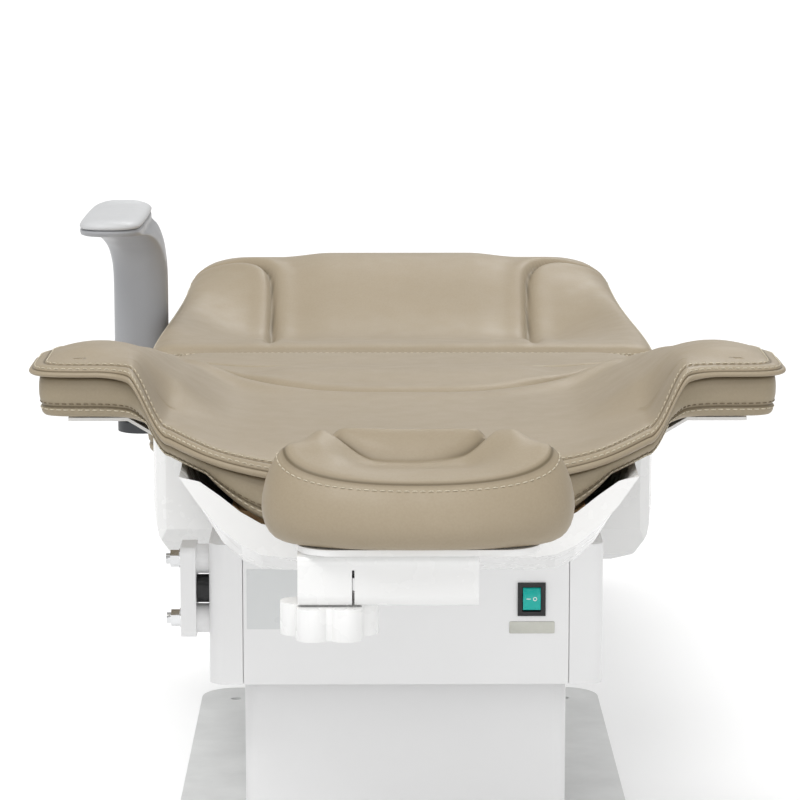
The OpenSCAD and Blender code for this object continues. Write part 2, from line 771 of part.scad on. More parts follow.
module mount_arm() {
    color("dimgray") difference() {
        side_plate(mount_arm_x, 8) polygon([
            [mount_y0, mount_z0], [mount_y1, mount_z0], [hinge_y + 60, beam_bottom - 45],
            [hinge_y + 60, beam_bottom], [hinge_y - 20, beam_bottom], [mount_y0, mount_z1]
        ]);
        for (y = mount_ys, z = mount_zs) bar_x(mount_arm_x - 1, y, z, mount_bolt_r, 10);
    }
}

module mount_bracket() {
    color("whitesmoke") difference() {
        union() {
            side_plate(mount_plate_x, mount_plate_t) rounded(mount_y0, mount_y1, mount_z0, mount_z1, 6);
            for (y = mount_ys, z = mount_zs)
                bar_x(mount_plate_x + 1, y, z, mount_boss_r - 0.05, mount_arm_x - mount_plate_x - 1);
        }
        for (y = mount_ys, z = mount_zs) bar_x(mount_plate_x - 1, y, z, mount_bolt_r, 60);
        bar_x(mount_plate_x - 1, mount_ys[0], (mount_z0 + mount_z1) / 2, hose_r, 40);
    }
}

module mount_bolts() {
    color("gainsboro") for (y = mount_ys, z = mount_zs)
        translate([mount_plate_x, y, z]) rotate([0, -90, 0]) {
            cylinder(h = 2, r = 9);
            cylinder(h = 10, r = 8, $fn = 6);
            cylinder(h = 14, r = mount_bolt_r);
            translate([0, 0, mount_plate_x - mount_arm_x - 8])
                cylinder(h = mount_arm_x - mount_plate_x + 8.5, r = mount_bolt_r);
        }
}

module hose_sleeve() {
    color("black") difference() {
        bar_x(mount_plate_x, mount_ys[0], (mount_z0 + mount_z1) / 2, hose_r,
            -box_half - mount_plate_x);
        bar_x(mount_plate_x - 1, mount_ys[0], (mount_z0 + mount_z1) / 2, hose_r - 3, 60);
    }
}

// ---------- back drive ----------

tube_front = pin_y + 110;
lug_y = crest_y - 50;

module back_actuator() {
    color("silver") difference() {
        union() {
            bar_y(actuator_x, pin_y + 40, actuator_z, 17, lug_y - pin_y - 68);
            bar_y(actuator_x, lug_y - 90, actuator_z, 21, 70);
            block(actuator_x - 20, actuator_x + 20, lug_y - 20, lug_y + 20, actuator_z - 14,
                beam_bottom);
        }
        bar_y(actuator_x, pin_y + 39, actuator_z, 10 + fit, tube_front - pin_y + 82);
    }
}

module actuator_rod() {
    color("gainsboro") {
        bar_y(actuator_x, pin_y + 31, actuator_z, 10, 175);
        difference() {
            block(actuator_x - 13, actuator_x + 13, pin_y - 10, pin_y + 36, actuator_z - 10,
                actuator_z + 10);
            block(lever_x - 1, lever_x + lever_t + 1, pin_y - 11, pin_y + 30, actuator_z - 11,
                actuator_z + 11);
        }
        bar_x(actuator_x - 12.5, pin_y, actuator_z, slot_pin_r, 25);
    }
}

module hinge_pins() {
    color("gainsboro") both_sides() {
        bar_x(side_x - 14, hinge_y, hinge_z, pin_r, side_t + 14);
        bar_x(side_x + side_t, hinge_y, hinge_z, 10, 5);
    }
}

// ---------- backrest ----------

module hinge_bushes() {
    color("goldenrod") both_sides() difference() {
        bar_x(side_x - 13, hinge_y, hinge_z, pin_r + bush_wall, 13 - bush_flange);
        bar_x(side_x - 14, hinge_y, hinge_z, pin_r + fit, 15);
    }
}

// Slotted lever in the hinge's own axes, pointing down
module lever_outline() {
    low = lever_reach / cos(lever_angle);
    slot_half = slot_pin_r + slot_play;
    difference() {
        union() {
            circle(tube_r + 4);
            translate([-slot_half - 7, -low - 3]) square([2 * slot_half + 14, low + 3]);
            translate([0, -low - 3]) circle(slot_half + 7);
        }
        circle(tube_r - 1);
        translate([-slot_half, -low]) square([2 * slot_half, low - lever_reach + 3]);
        translate([0, -low]) circle(slot_half);
        translate([0, -lever_reach + 3]) circle(slot_half);
    }
}

module back_frame() {
    far = hinge_y - rail_rear;
    ear_x = side_x - 10 - bush_flange;
    color("dimgray") difference() {
        union() {
            bar_x(-ear_x - 1, hinge_y, hinge_z, tube_r, 2 * ear_x + 2);
            both_sides() {
                bar_x(ear_x, hinge_y, hinge_z, tube_r, 10);
                block(rail_x - rail_w, rail_x, far, hinge_y - 10, rail_bottom,
                    rail_bottom + rail_h);
            }
            for (y = [far, hinge_y - 210])
                block(-rail_x, rail_x, y, y + 22, rail_bottom, rail_bottom + rail_h);
            block(-bar_w / 2 - 7, bar_w / 2 + 7, hinge_y - sleeve_rear, far + 22, bar_z - 11,
                bar_z + 12);
            translate([lever_x, hinge_y, hinge_z]) rotate([lever_angle, 0, 0])
                side_plate(0, lever_t) lever_outline();
        }
        both_sides() bar_x(side_x - 13, hinge_y, hinge_z, pin_r + bush_wall, 20);
        both_sides() bar_x(side_x - 16, hinge_y, hinge_z, pin_r + 1, 10);
        block(-bar_w / 2 - 3, bar_w / 2 + 3, hinge_y - sleeve_rear - 1, far + 23,
            bar_z - bar_t / 2 - 3, bar_z + bar_t / 2 + 3);
    }
}

// Rows along the backrest pad, close together at both ends and where the wings end
back_steps = concat([0, 1.5, 5, 11, 25, 50, 80, 110], [for (s = [140:32.5:400]) s], [450],
    [for (d = [140, 126, 119, 116, 114, 111, 100, 80, 50, 25, 11, 5, 1.5, 0]) back_len - d]);
// The same in the order of rising Y, between two of them
function back_rows(from, to) = [for (i = [len(back_steps) - 1:-1:0])
    if (back_steps[i] >= from && back_steps[i] <= to) back_steps[i]];
// One ring of a solid over the backrest's plan, with the head end drawn back at the sides
function back_ring(s, w, xs, top, bottom) = ring(back_front - s, w, xs,
    function (x, y) top(x, s), function (x, y) bottom(x, s), 22 * ease((s - 560) / 95), 0);

module back_cushion() {
    bottom = function (x, s) seat_h + back_rise(x, s) - pad_t
        + edge_fall(back_inset(x, s), pad_t / 2 - 0.5);
    color("tan") loft([for (s = back_rows(0, back_len))
        let (w = back_half(s))
        back_ring(s, w, back_columns(w), function (x, s) back_top(x, s), bottom)]);
}

module back_base_cushion() {
    inset = 9;
    top = function (x, s) pad_bottom + back_rise(x, s) - pad_gap;
    bottom = function (x, s) back_low(x, s) + edge_fall(back_half(s) - inset - abs(x), 3);
    color("tan") loft([for (s = back_rows(5, back_len - 5))
        let (w = back_half(s))
        back_ring(s, w, under_columns(back_columns(w), w - inset), top, bottom)]);
}

// Half width of the board that carries the cushions
function pan_half(s) = 170 - 24 * ease((s - 430) / 110);

module back_pan() {
    top = function (x, s) back_low(x, s) - pad_gap * (1 + 6 * ease((abs(x) - 105) / 30));
    bottom = function (x, s) back_low(x, s) - back_board_t;
    color("dimgray") loft([for (s = back_rows(60, back_len - 20))
        let (w = pan_half(s), xs = [for (i = [0:3]) max(-wall_steps[i], -w + 3 * i)])
        back_ring(s, back_half(s), mirrored(xs), top, bottom)]);
}

// The back shell: half width, depth under the board, and how steeply its sides turn up
function shell_half(s) = 193 - 4 * ease((s - 450) / 190);
shell_gap = 2.6;                // gap under the base cushion
function shell_depth(s) = 42 - 27 * ease((s - 560) / 85);
function shell_turn(s) = 2.7 - 0.7 * ease((s - 560) / 85);
// Outer solid of the back shell, drawn in by e
module back_shell_solid(e) {
    side_w = 84;
    board_low = base_bottom - back_board_t;
    loft([for (d = concat([back_len - 16 - e], back_rows(80, back_len - 25), [62 + e]))
        let (y = back_front - d, w = shell_half(d) - e, floor_z = board_low - shell_depth(d) + e,
            edge = back_low(shell_half(d) - cover_t, d) - shell_gap,
            wall = [for (t = [1:-0.2:0])
                [w - side_w * (1 - t), floor_z + (edge - floor_z) * pow(abs(t), shell_turn(d))]],
            end_wall = d > back_len - 17,
            rim = [for (i = [0:5]) e > 0 ? edge + 30 : i == 0 ? edge
                : back_low(wall[i][0], d) - (end_wall ? shell_gap : back_board_t + 2)])
        concat([for (i = [0:5]) [-wall[i][0], y, rim[i]]],
            [for (i = [5:-1:0]) [wall[i][0], y, rim[i]]],
            [for (i = [0:5]) [wall[i][0] + 0.01, y, min(wall[i][1], rim[i] - 0.5)]],
            [for (i = [5:-1:0]) [-wall[i][0] - 0.01, y, min(wall[i][1], rim[i] - 0.5)]])]);
}

module back_shell() {
    boss_x = rail_x - rail_w / 2;
    color("white") {
        difference() {
            back_shell_solid(0);
            back_shell_solid(cover_t);
            block(-bar_w / 2 - 8, bar_w / 2 + 8, -900, hinge_y - sleeve_rear + 14, bar_z - 16,
                bar_z + 14);
            block(-rail_x - 1, rail_x + 1, hinge_y - 40, hinge_y, rail_bottom - rest_gap, 700);
        }
        for (x = [-boss_x, boss_x], y = [hinge_y - 60, hinge_y - rail_rear + 40])
            translate([x, y, rail_bottom - 10]) cylinder(h = 10 - rest_gap, r = 7);
        both_sides() wing_flange();
    }
}

// Flange of the shell that carries one wing
module wing_flange() {
    loft([for (s = back_rows(320, back_len - 140))
        back_ring(s, back_half(s), [29 - back_half(s), -240, -200, -191],
            function (x, s) back_low(x, s) - shell_gap,
            function (x, s) back_low(x, s) - shell_gap - cover_t)]);
}

module bar_liners() {
    far = hinge_y - sleeve_rear;
    top = bar_z + bar_t / 2;
    low = bar_z - bar_t / 2;
    color("ivory") for (y = [far + 2, far + 82]) {
        block(-bar_w / 2, bar_w / 2, y, y + 30, top + fit, top + 3);
        block(-bar_w / 2, bar_w / 2, y, y + 30, low - 3, low - fit);
        both_sides() block(bar_w / 2 + fit, bar_w / 2 + 3, y, y + 30, low - 3, top + 3);
    }
}

// ---------- headrest ----------

module headrest_bar() {
    color("gainsboro") {
        difference() {
            union() {
                block(-bar_w / 2, bar_w / 2, tilt_a_y + 16, hinge_y - rail_rear + 150, bar_z - bar_t / 2,
                    bar_z + bar_t / 2);
                both_sides() {
                    bar_x(link_w / 2 + 0.5, tilt_a_y, bar_z, eye_r, 8);
                    block(link_w / 2 + 0.5, link_w / 2 + 8.5, tilt_a_y, tilt_a_y + 26,
                        bar_z - 10, bar_z + 10);
                }
            }
            bar_x(-60, tilt_a_y, bar_z, link_pin_r, 120);
        }
        bar_x(-link_w / 2 - 9, tilt_a_y, bar_z, link_pin_r, link_w + 18);
    }
}

module headrest_link() {
    color("dimgray") difference() {
        union() {
            bar_x(-link_w / 2, tilt_a_y, bar_z, eye_r, link_w);
            bar_x(-link_w / 2, tilt_b_y, tilt_b_z, eye_r, link_w);
            side_plate(-link_w / 2, link_w) polygon([
                [tilt_a_y, bar_z - 9], [tilt_a_y, bar_z + 9], [tilt_b_y, tilt_b_z + 9],
                [tilt_b_y, tilt_b_z - 9]
            ]);
        }
        bar_x(-30, tilt_a_y, bar_z, link_pin_r + fit, 60);
        bar_x(-30, tilt_b_y, tilt_b_z, link_pin_r + fit, 60);
    }
}

module headrest_block() {
    y0 = tilt_b_y - 35;
    y1 = tilt_b_y + 30;
    mid_z = block_bottom + 30;
    color("white") {
        difference() {
            side_plate(block_left, block_right - block_left)
                rounded(y0, y1, block_bottom, block_top, 10);
            block(-link_w / 2 - 1, link_w / 2 + 1, tilt_b_y - 18, y1 + 1, block_bottom - 1,
                block_top - 4);
            block(block_split - 1, block_split + 1, y0 - 1, y1 + 1, block_bottom - 1, mid_z);
            translate([knob_x, knob_y, block_bottom - 1]) cylinder(h = 15, r = 5 + fit);
            bar_x(block_left + 6, tilt_b_y, tilt_b_z, link_pin_r, 130);
        }
        bar_x(block_left + 6, tilt_b_y, tilt_b_z, link_pin_r, 130);
    }
}

module headrest_pan() {
    color("white") translate([head_shift, 0, 0])
        rounded_block(-96, 96, head_rear - head_len + 18, head_rear - 14, head_z - 5, head_z, 30);
}

module headrest_cushion() {
    y0 = head_rear - head_len;
    rows = [for (d = concat([0, 1.5, 5, 11, 18], [26:11:103], [head_len - 22, head_len - 14,
        head_len - 6, head_len - 2, head_len])) each d];
    color("tan") translate([head_shift, 0, 0]) loft([for (d = rows)
        ring(y0 + d, head_half(y0 + d), columns(head_half(y0 + d), 4), function (x, y) head_top(x, y),
            function (x, y) head_bottom(x, y), 0, 0)]);
}

module lock_knob() {
    top = block_bottom - 0.4;
    color("white") translate([knob_x, knob_y, 0]) {
        translate([0, 0, top - knob_h]) linear_extrude(knob_h) difference() {
            union() {
                circle(knob_r - 9);
                for (a = [0:60:300]) rotate(a) translate([knob_r - 13, 0]) circle(13);
            }
            for (a = [30:60:330]) rotate(a) translate([knob_r + 3, 0]) circle(9);
        }
        translate([0, 0, top - 1]) cylinder(h = 14, r = 5);
    }
}

// ---------- armrest ----------

module armrest_bracket() {
    color("dimgray") {
        block(-arm_x, -side_x - side_t, arm_y - 25, arm_y + 25, arm_seat_z - 12, arm_seat_z);
        translate([-arm_x, arm_y, arm_seat_z - 12]) cylinder(h = 12, r = 28);
        translate([-arm_x, arm_y, arm_seat_z]) cylinder(h = 2, r = 18);
        translate([-arm_x, arm_y, arm_seat_z]) cylinder(h = post_top - arm_seat_z, r = post_r);
    }
}

module armrest_column() {
    h = arm_column_w / 2;
    top = arm_bottom - 4;
    color("silver") difference() {
        translate([-arm_x, arm_y, 0]) intersection() {
            cross_plate(-h, 2 * h) polygon([
                [-h, arm_foot_z], [h, arm_foot_z], [h, top - 70], [h - 1, top - 55], [h - 4, top - 25],
                [h - 10, top - 2], [h - 13, top], [-h - 11, top], [-h - 10, top - 18],
                [-h - 6, top - 35], [-h - 1.5, top - 56], [-h, top - 80]
            ]);
            union() {
                rounded_block(-h, h, -h, h, arm_foot_z - 1, top, arm_column_r);
                rounded_block(-h - 12, h, -h, h, top - 80, top + 1, arm_column_r);
            }
        }
        translate([-arm_x, arm_y, arm_foot_z - 1]) cylinder(h = post_top - arm_foot_z + 6,
            r = post_r + 3);
    }
}

module armrest_bushes() {
    color("ivory") for (z = [arm_foot_z, post_top - 25])
        translate([-arm_x, arm_y, z]) difference() {
            cylinder(h = 24, r = post_r + 3);
            translate([0, 0, -1]) cylinder(h = 26, r = post_r + fit);
        }
}

// Outline of the arm pad in plan: round nose toward the head, rounder tail
module arm_plan(e) {
    half = arm_pad_w / 2 - e;
    nose = arm_y + 40 - arm_pad_len;
    x = -arm_x - arm_out;
    hull() {
        translate([x, nose + arm_pad_w / 2]) circle(half, $fn = 32);
        translate([x, arm_y + 40 - 34]) scale([1, 34 / (arm_pad_w / 2)]) circle(half, $fn = 32);
    }
}

module armrest_lower_shell() {
    h = arm_column_w / 2 - 2;
    color("silver") hull() {
        translate([0, 0, arm_bottom + 4]) linear_extrude(6) arm_plan(2);
        translate([0, 0, arm_bottom]) linear_extrude(2) arm_plan(8);
        translate([-arm_x, arm_y, arm_bottom - 4]) linear_extrude(1)
            rounded(-h - 10, h - 12, -h, h, arm_column_r - 2);
        translate([-arm_x, arm_y, arm_bottom + 8]) linear_extrude(2)
            rounded(-h - 10, h - 17, -h, h, arm_column_r - 2);
    }
}

module armrest_pad() {
    z = arm_bottom + 10;
    color("silver") hull() {
        translate([0, 0, z]) linear_extrude(3) arm_plan(0);
        translate([0, 0, z + 3]) linear_extrude(3) arm_plan(2);
        translate([0, 0, z + 6]) linear_extrude(2) arm_plan(7);
        translate([0, 0, z + 8]) linear_extrude(arm_t - 18) arm_plan(14);
    }
}

base_plate();
column_outer();
column_bolts();
outer_glides();
lift_cylinder();
base_skirt();
hydraulic_pump();
hydraulic_line();
column_mid();
mid_glides();
lift_stage();
column_inner();
inner_glides();
lift_rod();
seat_frame();
frame_bolts();
seat_board();
seat_shell();
seat_base_cushion();
seat_cushion();
box_rear_panel();
box_left_cover();
box_right_cover();
box_front_panel();
box_top_cover();
power_supply();
control_board();
switch_housing();
power_rocker();
mount_arm();
mount_bracket();
mount_bolts();
hose_sleeve();
back_actuator();
actuator_rod();
hinge_pins();
hinge_bushes();
back_frame();
back_pan();
back_shell();
back_base_cushion();
back_cushion();
bar_liners();
headrest_bar();
headrest_link();
headrest_block();
headrest_pan();
headrest_cushion();
lock_knob();
armrest_bracket();
armrest_column();
armrest_bushes();
armrest_lower_shell();
armrest_pad();
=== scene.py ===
"""Reclining treatment chair: the looks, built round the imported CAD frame."""
import math

import bmesh
import bpy
import numpy as np
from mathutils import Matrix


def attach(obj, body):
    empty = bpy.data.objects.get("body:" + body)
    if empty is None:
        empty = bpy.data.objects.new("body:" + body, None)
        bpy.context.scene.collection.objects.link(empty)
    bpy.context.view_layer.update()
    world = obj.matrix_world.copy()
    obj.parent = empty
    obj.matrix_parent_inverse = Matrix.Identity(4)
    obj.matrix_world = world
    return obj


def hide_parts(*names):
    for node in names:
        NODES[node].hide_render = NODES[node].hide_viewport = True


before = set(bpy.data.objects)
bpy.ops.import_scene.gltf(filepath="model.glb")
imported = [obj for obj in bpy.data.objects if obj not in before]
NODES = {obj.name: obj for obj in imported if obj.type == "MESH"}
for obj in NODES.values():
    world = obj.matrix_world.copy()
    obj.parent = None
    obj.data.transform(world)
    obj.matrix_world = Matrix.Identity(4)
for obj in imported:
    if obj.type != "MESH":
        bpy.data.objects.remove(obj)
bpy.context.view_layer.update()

MM = 0.001
MERGE = 0.02 * MM
NO_AREA = 1e-12

# ---------------------------------------------------------------- camera

# Behind the head end, with a long lens, looking a little down and a little to the side
CAMERA_AT = (-0.026, -3.285, 0.966)
CAMERA_PITCH = math.radians(9.5)
CAMERA_YAW = math.radians(0.41)
CAMERA_LENS = 144.0
SENSOR_WIDTH = 36.0

camera_data = bpy.data.cameras.new("photo_camera")
camera_data.lens = CAMERA_LENS
camera_data.sensor_width = SENSOR_WIDTH
camera_data.sensor_fit = "HORIZONTAL"
camera_data.clip_start = 0.05
camera_data.clip_end = 200.0
camera = bpy.data.objects.new("photo_camera", camera_data)
camera.location = CAMERA_AT
camera.rotation_euler = (math.pi / 2 - CAMERA_PITCH, 0.0, -CAMERA_YAW)
bpy.context.scene.collection.objects.link(camera)
bpy.context.scene.camera = camera
bpy.context.scene.view_settings.view_transform = "Standard"


# ---------------------------------------------------------------- materials

def linear(srgb):
    """An sRGB colour of 0 to 255 as linear values of 0 to 1."""
    out = []
    for c in srgb:
        c /= 255
        out.append(c / 12.92 if c <= 0.04045 else ((c + 0.055) / 1.055) ** 2.4)
    return (*out, 1.0)


class Net:
    """A material's node tree with short calls for the nodes used here."""

    def __init__(self, name):
        self.material = bpy.data.materials.new(name)
        self.material.use_nodes = True
        self.tree = self.material.node_tree
        self.tree.nodes.clear()
        self.out = self.add("ShaderNodeOutputMaterial")
        self.shader = self.add("ShaderNodeBsdfPrincipled")
        self.link(self.shader.outputs[0], self.out.inputs["Surface"])
        self.place = self.add("ShaderNodeTexCoord").outputs["Object"]

    def add(self, kind, **values):
        node = self.tree.nodes.new(kind)
        for key, value in values.items():
            setattr(node, key, value)
        return node

    def link(self, a, b):
        self.tree.links.new(a, b)

    def noise(self, scale, detail=3.0, rough=0.5, stretch=None):
        place = self.place
        if stretch:
            mapping = self.add("ShaderNodeMapping")
            mapping.inputs["Scale"].default_value = stretch
            self.link(place, mapping.inputs["Vector"])
            place = mapping.outputs[0]
        node = self.add("ShaderNodeTexNoise")
        node.inputs["Scale"].default_value = scale
        node.inputs["Detail"].default_value = detail
        node.inputs["Roughness"].default_value = rough
        self.link(place, node.inputs["Vector"])
        return node.outputs["Fac"]

    def cells(self, scale, feature):
        node = self.add("ShaderNodeTexVoronoi", feature=feature)
        node.inputs["Scale"].default_value = scale
        self.link(self.place, node.inputs["Vector"])
        return node.outputs["Distance"]

    def attribute(self, name):
        return self.add("ShaderNodeAttribute", attribute_name=name).outputs["Fac"]

    def spread(self, value, low, high, to_low, to_high):
        node = self.add("ShaderNodeMapRange")
        for key, number in (("From Min", low), ("From Max", high), ("To Min", to_low), ("To Max", to_high)):
            node.inputs[key].default_value = number
        self.link(value, node.inputs["Value"])
        return node.outputs["Result"]

    def math(self, operation, a, b):
        node = self.add("ShaderNodeMath", operation=operation)
        for socket, value in zip(node.inputs, (a, b)):
            if isinstance(value, (int, float)):
                socket.default_value = value
            else:
                self.link(value, socket)
        return node.outputs[0]

    def mix(self, amount, a, b):
        node = self.add("ShaderNodeMix", data_type="RGBA")
        self.link(amount, node.inputs["Factor"])
        for socket, value in ((node.inputs[6], a), (node.inputs[7], b)):
            if isinstance(value, tuple):
                socket.default_value = value
            else:
                self.link(value, socket)
        return node.outputs[2]

    def bump(self, height, distance, strength=1.0, below=None):
        node = self.add("ShaderNodeBump")
        node.inputs["Distance"].default_value = distance
        node.inputs["Strength"].default_value = strength
        self.link(height, node.inputs["Height"])
        if below is not None:
            self.link(below, node.inputs["Normal"])
        return node.outputs[0]

    def set(self, **values):
        for key, value in values.items():
            socket = self.shader.inputs[key.replace("_", " ")]
            if isinstance(value, (int, float, tuple)):
                socket.default_value = value
            else:
                self.link(value, socket)


def plastic(name, colour, rough=0.28, grain=900, depth=0.03, coat=0.0, wear_and_crease_shade=0.035):
    """Moulded plastic: a slightly uneven colour, a fine moulded grain and soft waves in its gloss."""
    net = Net(name)
    light = linear(colour)
    dark = (*(c * (1 - wear_and_crease_shade) for c in light[:3]), 1.0)
    patches = net.spread(net.noise(9, 4), 0.35, 0.65, 0, 1)
    net.set(Base_Color=net.mix(patches, light, dark))
    net.set(Roughness=net.spread(net.noise(38, 3), 0.3, 0.7, rough - 0.05, rough + 0.06))
    fine = net.bump(net.noise(grain, 2), depth * MM)
    net.set(Normal=net.bump(net.noise(14, 1), 0.25 * MM, 0.5, fine))
    net.set(Coat_Weight=coat, Coat_Roughness=0.12, IOR=1.46)
    return net.material


def metal(name, colour, rough=0.25, brush=None, grain=600, depth=0.02):
    """Bare, cast or plated metal, brushed along one way if brush gives the stretch."""
    net = Net(name)
    light = linear(colour)
    dark = (*(c * 0.8 for c in light[:3]), 1.0)
    lines = net.noise(grain, 3, 0.6, stretch=brush)
    net.set(Base_Color=net.mix(net.spread(net.noise(22, 4), 0.35, 0.7, 0, 1), light, dark))
    net.set(Metallic=1.0, Roughness=net.spread(lines, 0.3, 0.7, rough * 0.8, rough * 1.3))
    net.set(Normal=net.bump(lines, depth * MM))
    return net.material


def painted(name, colour, rough=0.4, peel=260, depth=0.05):
    """Powder-coated steel, with its orange peel."""
    net = Net(name)
    light = linear(colour)
    dark = (*(c * 0.9 for c in light[:3]), 1.0)
    net.set(Base_Color=net.mix(net.spread(net.noise(16, 4), 0.35, 0.65, 0, 1), light, dark))
    net.set(Roughness=net.spread(net.noise(50, 2), 0.3, 0.7, rough - 0.06, rough + 0.08))
    net.set(Normal=net.bump(net.noise(peel, 2), depth * MM))
    return net.material


def board(name):
    """Plywood under the upholstery."""
    net = Net(name)
    rings = net.noise(60, 5, 0.55, stretch=(1.0, 0.09, 1.0))
    light, dark = linear((196, 164, 120)), linear((158, 122, 82))
    net.set(Base_Color=net.mix(net.spread(rings, 0.3, 0.7, 0, 1), light, dark))
    net.set(Roughness=net.spread(rings, 0.3, 0.7, 0.5, 0.68), Normal=net.bump(rings, 0.12 * MM))
    return net.material


def rubber(name, colour, rough=0.55):
    """Black rubber or glass-filled nylon."""
    net = Net(name)
    light = linear(colour)
    dark = (*(c * 0.6 for c in light[:3]), 1.0)
    net.set(Base_Color=net.mix(net.spread(net.noise(30, 4), 0.35, 0.65, 0, 1), light, dark))
    net.set(Roughness=net.spread(net.noise(120, 3), 0.3, 0.7, rough - 0.08, rough + 0.1))
    net.set(Normal=net.bump(net.noise(1100, 2), 0.04 * MM))
    return net.material


def leather(name, lit=(166, 152, 129), shade=(146, 131, 107)):
    """Beige leatherette: pebbled grain, mottled gloss, and painted shade toward a deep brown where the crease
    attribute marks a seam, groove, lip or crease.
    """
    net = Net(name)
    mottle = net.spread(net.noise(7, 4, 0.6), 0.36, 0.64, 0, 1)
    colour = net.mix(mottle, linear(lit), linear((*(c - 4 for c in lit),)))
    pebble = net.cells(560, "SMOOTH_F1")
    colour = net.mix(net.spread(pebble, 0.05, 0.75, 0, 0.22), colour, linear(shade))
    # Painted shade: the crease attribute darkens the colour toward a deep brown in seams, grooves, under lips
    # and at tucks.
    wear_and_crease_shade = net.attribute("crease")
    colour = net.mix(net.spread(wear_and_crease_shade, 0.0, 1.0, 0.0, 0.92), colour, linear((96, 83, 58)))
    net.set(Base_Color=colour)
    gloss = net.spread(net.noise(45, 3), 0.3, 0.7, 0.45, 0.57)
    net.set(Roughness=gloss, IOR=1.47, Sheen_Weight=0.03, Sheen_Roughness=0.4)
    wrinkle = net.bump(net.noise(120, 4, 0.55), 0.16 * MM, 0.55)
    grain = net.bump(pebble, 0.10 * MM, 0.6, wrinkle)
    net.set(Normal=net.bump(net.noise(2100, 2), 0.03 * MM, 0.5, grain))
    return net.material


WHITE = plastic("white_gloss_plastic", (246, 246, 245), 0.25, coat=0.25, wear_and_crease_shade=0.012)
WHITE_BOX = plastic("white_case_plastic", (246, 246, 246), 0.34, grain=1200, wear_and_crease_shade=0.012)
GREY = plastic("grey_arm_plastic", (206, 207, 208), 0.42, grain=1300, depth=0.05)
GREY_BODY = plastic("grey_arm_shell", (170, 171, 174), 0.38, grain=1300, depth=0.04)
LABEL = plastic("bare_label_film", (226, 228, 228), 0.3, grain=300, depth=0.01, wear_and_crease_shade=0.02)
MARK = plastic("white_mark", (236, 240, 238), 0.35, grain=900, depth=0.01)
BLACK = rubber("black_plastic", (26, 26, 27), 0.42)
NYLON = rubber("dark_nylon", (44, 44, 46), 0.5)
TEAL = plastic("rocker_teal", (0, 184, 172), 0.22, grain=700, depth=0.02, coat=0.1, wear_and_crease_shade=0.1)
CHROME = metal("bright_plating", (226, 227, 228), 0.13, grain=900)
STEEL = metal("machined_steel", (176, 178, 180), 0.3, brush=(1.0, 1.0, 0.06), grain=900, depth=0.04)
ZINC = metal("zinc_plated_steel", (190, 190, 182), 0.38, grain=300, depth=0.06)
ALUMINIUM = metal("drawn_aluminium", (205, 206, 208), 0.28, brush=(1.0, 0.05, 1.0), grain=1000)
BRASS = metal("bronze_bush", (186, 146, 88), 0.32, grain=500)
FRAME_PAINT = painted("frame_powder_coat", (58, 60, 63), 0.42)
BASE_PAINT = painted("base_powder_coat", (226, 227, 226), 0.4)
PLYWOOD = board("plywood_board")
CIRCUIT = plastic("circuit_green", (26, 92, 58), 0.35, grain=400, depth=0.06, wear_and_crease_shade=0.3)
LEATHER = leather("beige_leatherette")
# A shaded copy of the leatherette for the pads' boxed sides: its slightly darker colours are painted shade.
LEATHER_SHADED_SIDE = leather("beige_leatherette_boxing_painted_shade", (162, 149, 126), (143, 129, 105))

FINISH = {
    "base_plate": BASE_PAINT, "column_outer": BASE_PAINT, "column_bolts": ZINC, "outer_glides": NYLON,
    "lift_cylinder": STEEL, "base_skirt": WHITE_BOX, "hydraulic_pump": FRAME_PAINT, "hydraulic_line": BLACK,
    "column_mid": STEEL, "mid_glides": NYLON, "lift_stage": STEEL, "column_inner": STEEL,
    "inner_glides": NYLON, "lift_rod": CHROME, "seat_frame": FRAME_PAINT, "frame_bolts": ZINC,
    "seat_board": PLYWOOD, "seat_shell": WHITE, "box_rear_panel": WHITE_BOX, "box_left_cover": WHITE_BOX,
    "box_right_cover": WHITE_BOX, "box_front_panel": WHITE_BOX, "box_top_cover": WHITE_BOX,
    "power_supply": ZINC, "control_board": CIRCUIT, "switch_housing": BLACK, "power_rocker": TEAL,
    "mount_arm": FRAME_PAINT, "mount_bracket": WHITE_BOX, "mount_bolts": CHROME, "hose_sleeve": BLACK,
    "back_actuator": BLACK, "actuator_rod": CHROME, "hinge_pins": STEEL, "hinge_bushes": BRASS,
    "back_frame": FRAME_PAINT, "back_pan": PLYWOOD, "back_shell": WHITE, "bar_liners": NYLON,
    "headrest_bar": ALUMINIUM, "headrest_link": ALUMINIUM, "headrest_block": WHITE,
    "headrest_pan": WHITE, "lock_knob": WHITE, "armrest_bracket": FRAME_PAINT, "armrest_column": GREY,
    "armrest_bushes": NYLON, "armrest_lower_shell": GREY, "armrest_pad": GREY,
    "seat_base_cushion": LEATHER_SHADED_SIDE, "seat_cushion": LEATHER, "back_base_cushion": LEATHER_SHADED_SIDE,
    "back_cushion": LEATHER, "headrest_cushion": LEATHER,
}
for node, finish in FINISH.items():
    slots = NODES[node].material_slots
    for slot in slots:
        slot.material = finish
    if not slots:
        NODES[node].data.materials.append(finish)


def round_edges(node, width, angle=35, segments=3):
    """Moulded or broken edges on a CAD node, as a modifier on its own mesh."""
    piece = NODES[node]
    weld = piece.modifiers.new("weld", "WELD")
    weld.merge_threshold = MERGE
    bevel = piece.modifiers.new("edges", "BEVEL")
    bevel.width = width * MM
    bevel.segments = segments
    bevel.limit_method = "ANGLE"
    bevel.angle_limit = math.radians(angle)
    bevel.use_clamp_overlap = True
    bevel.harden_normals = True


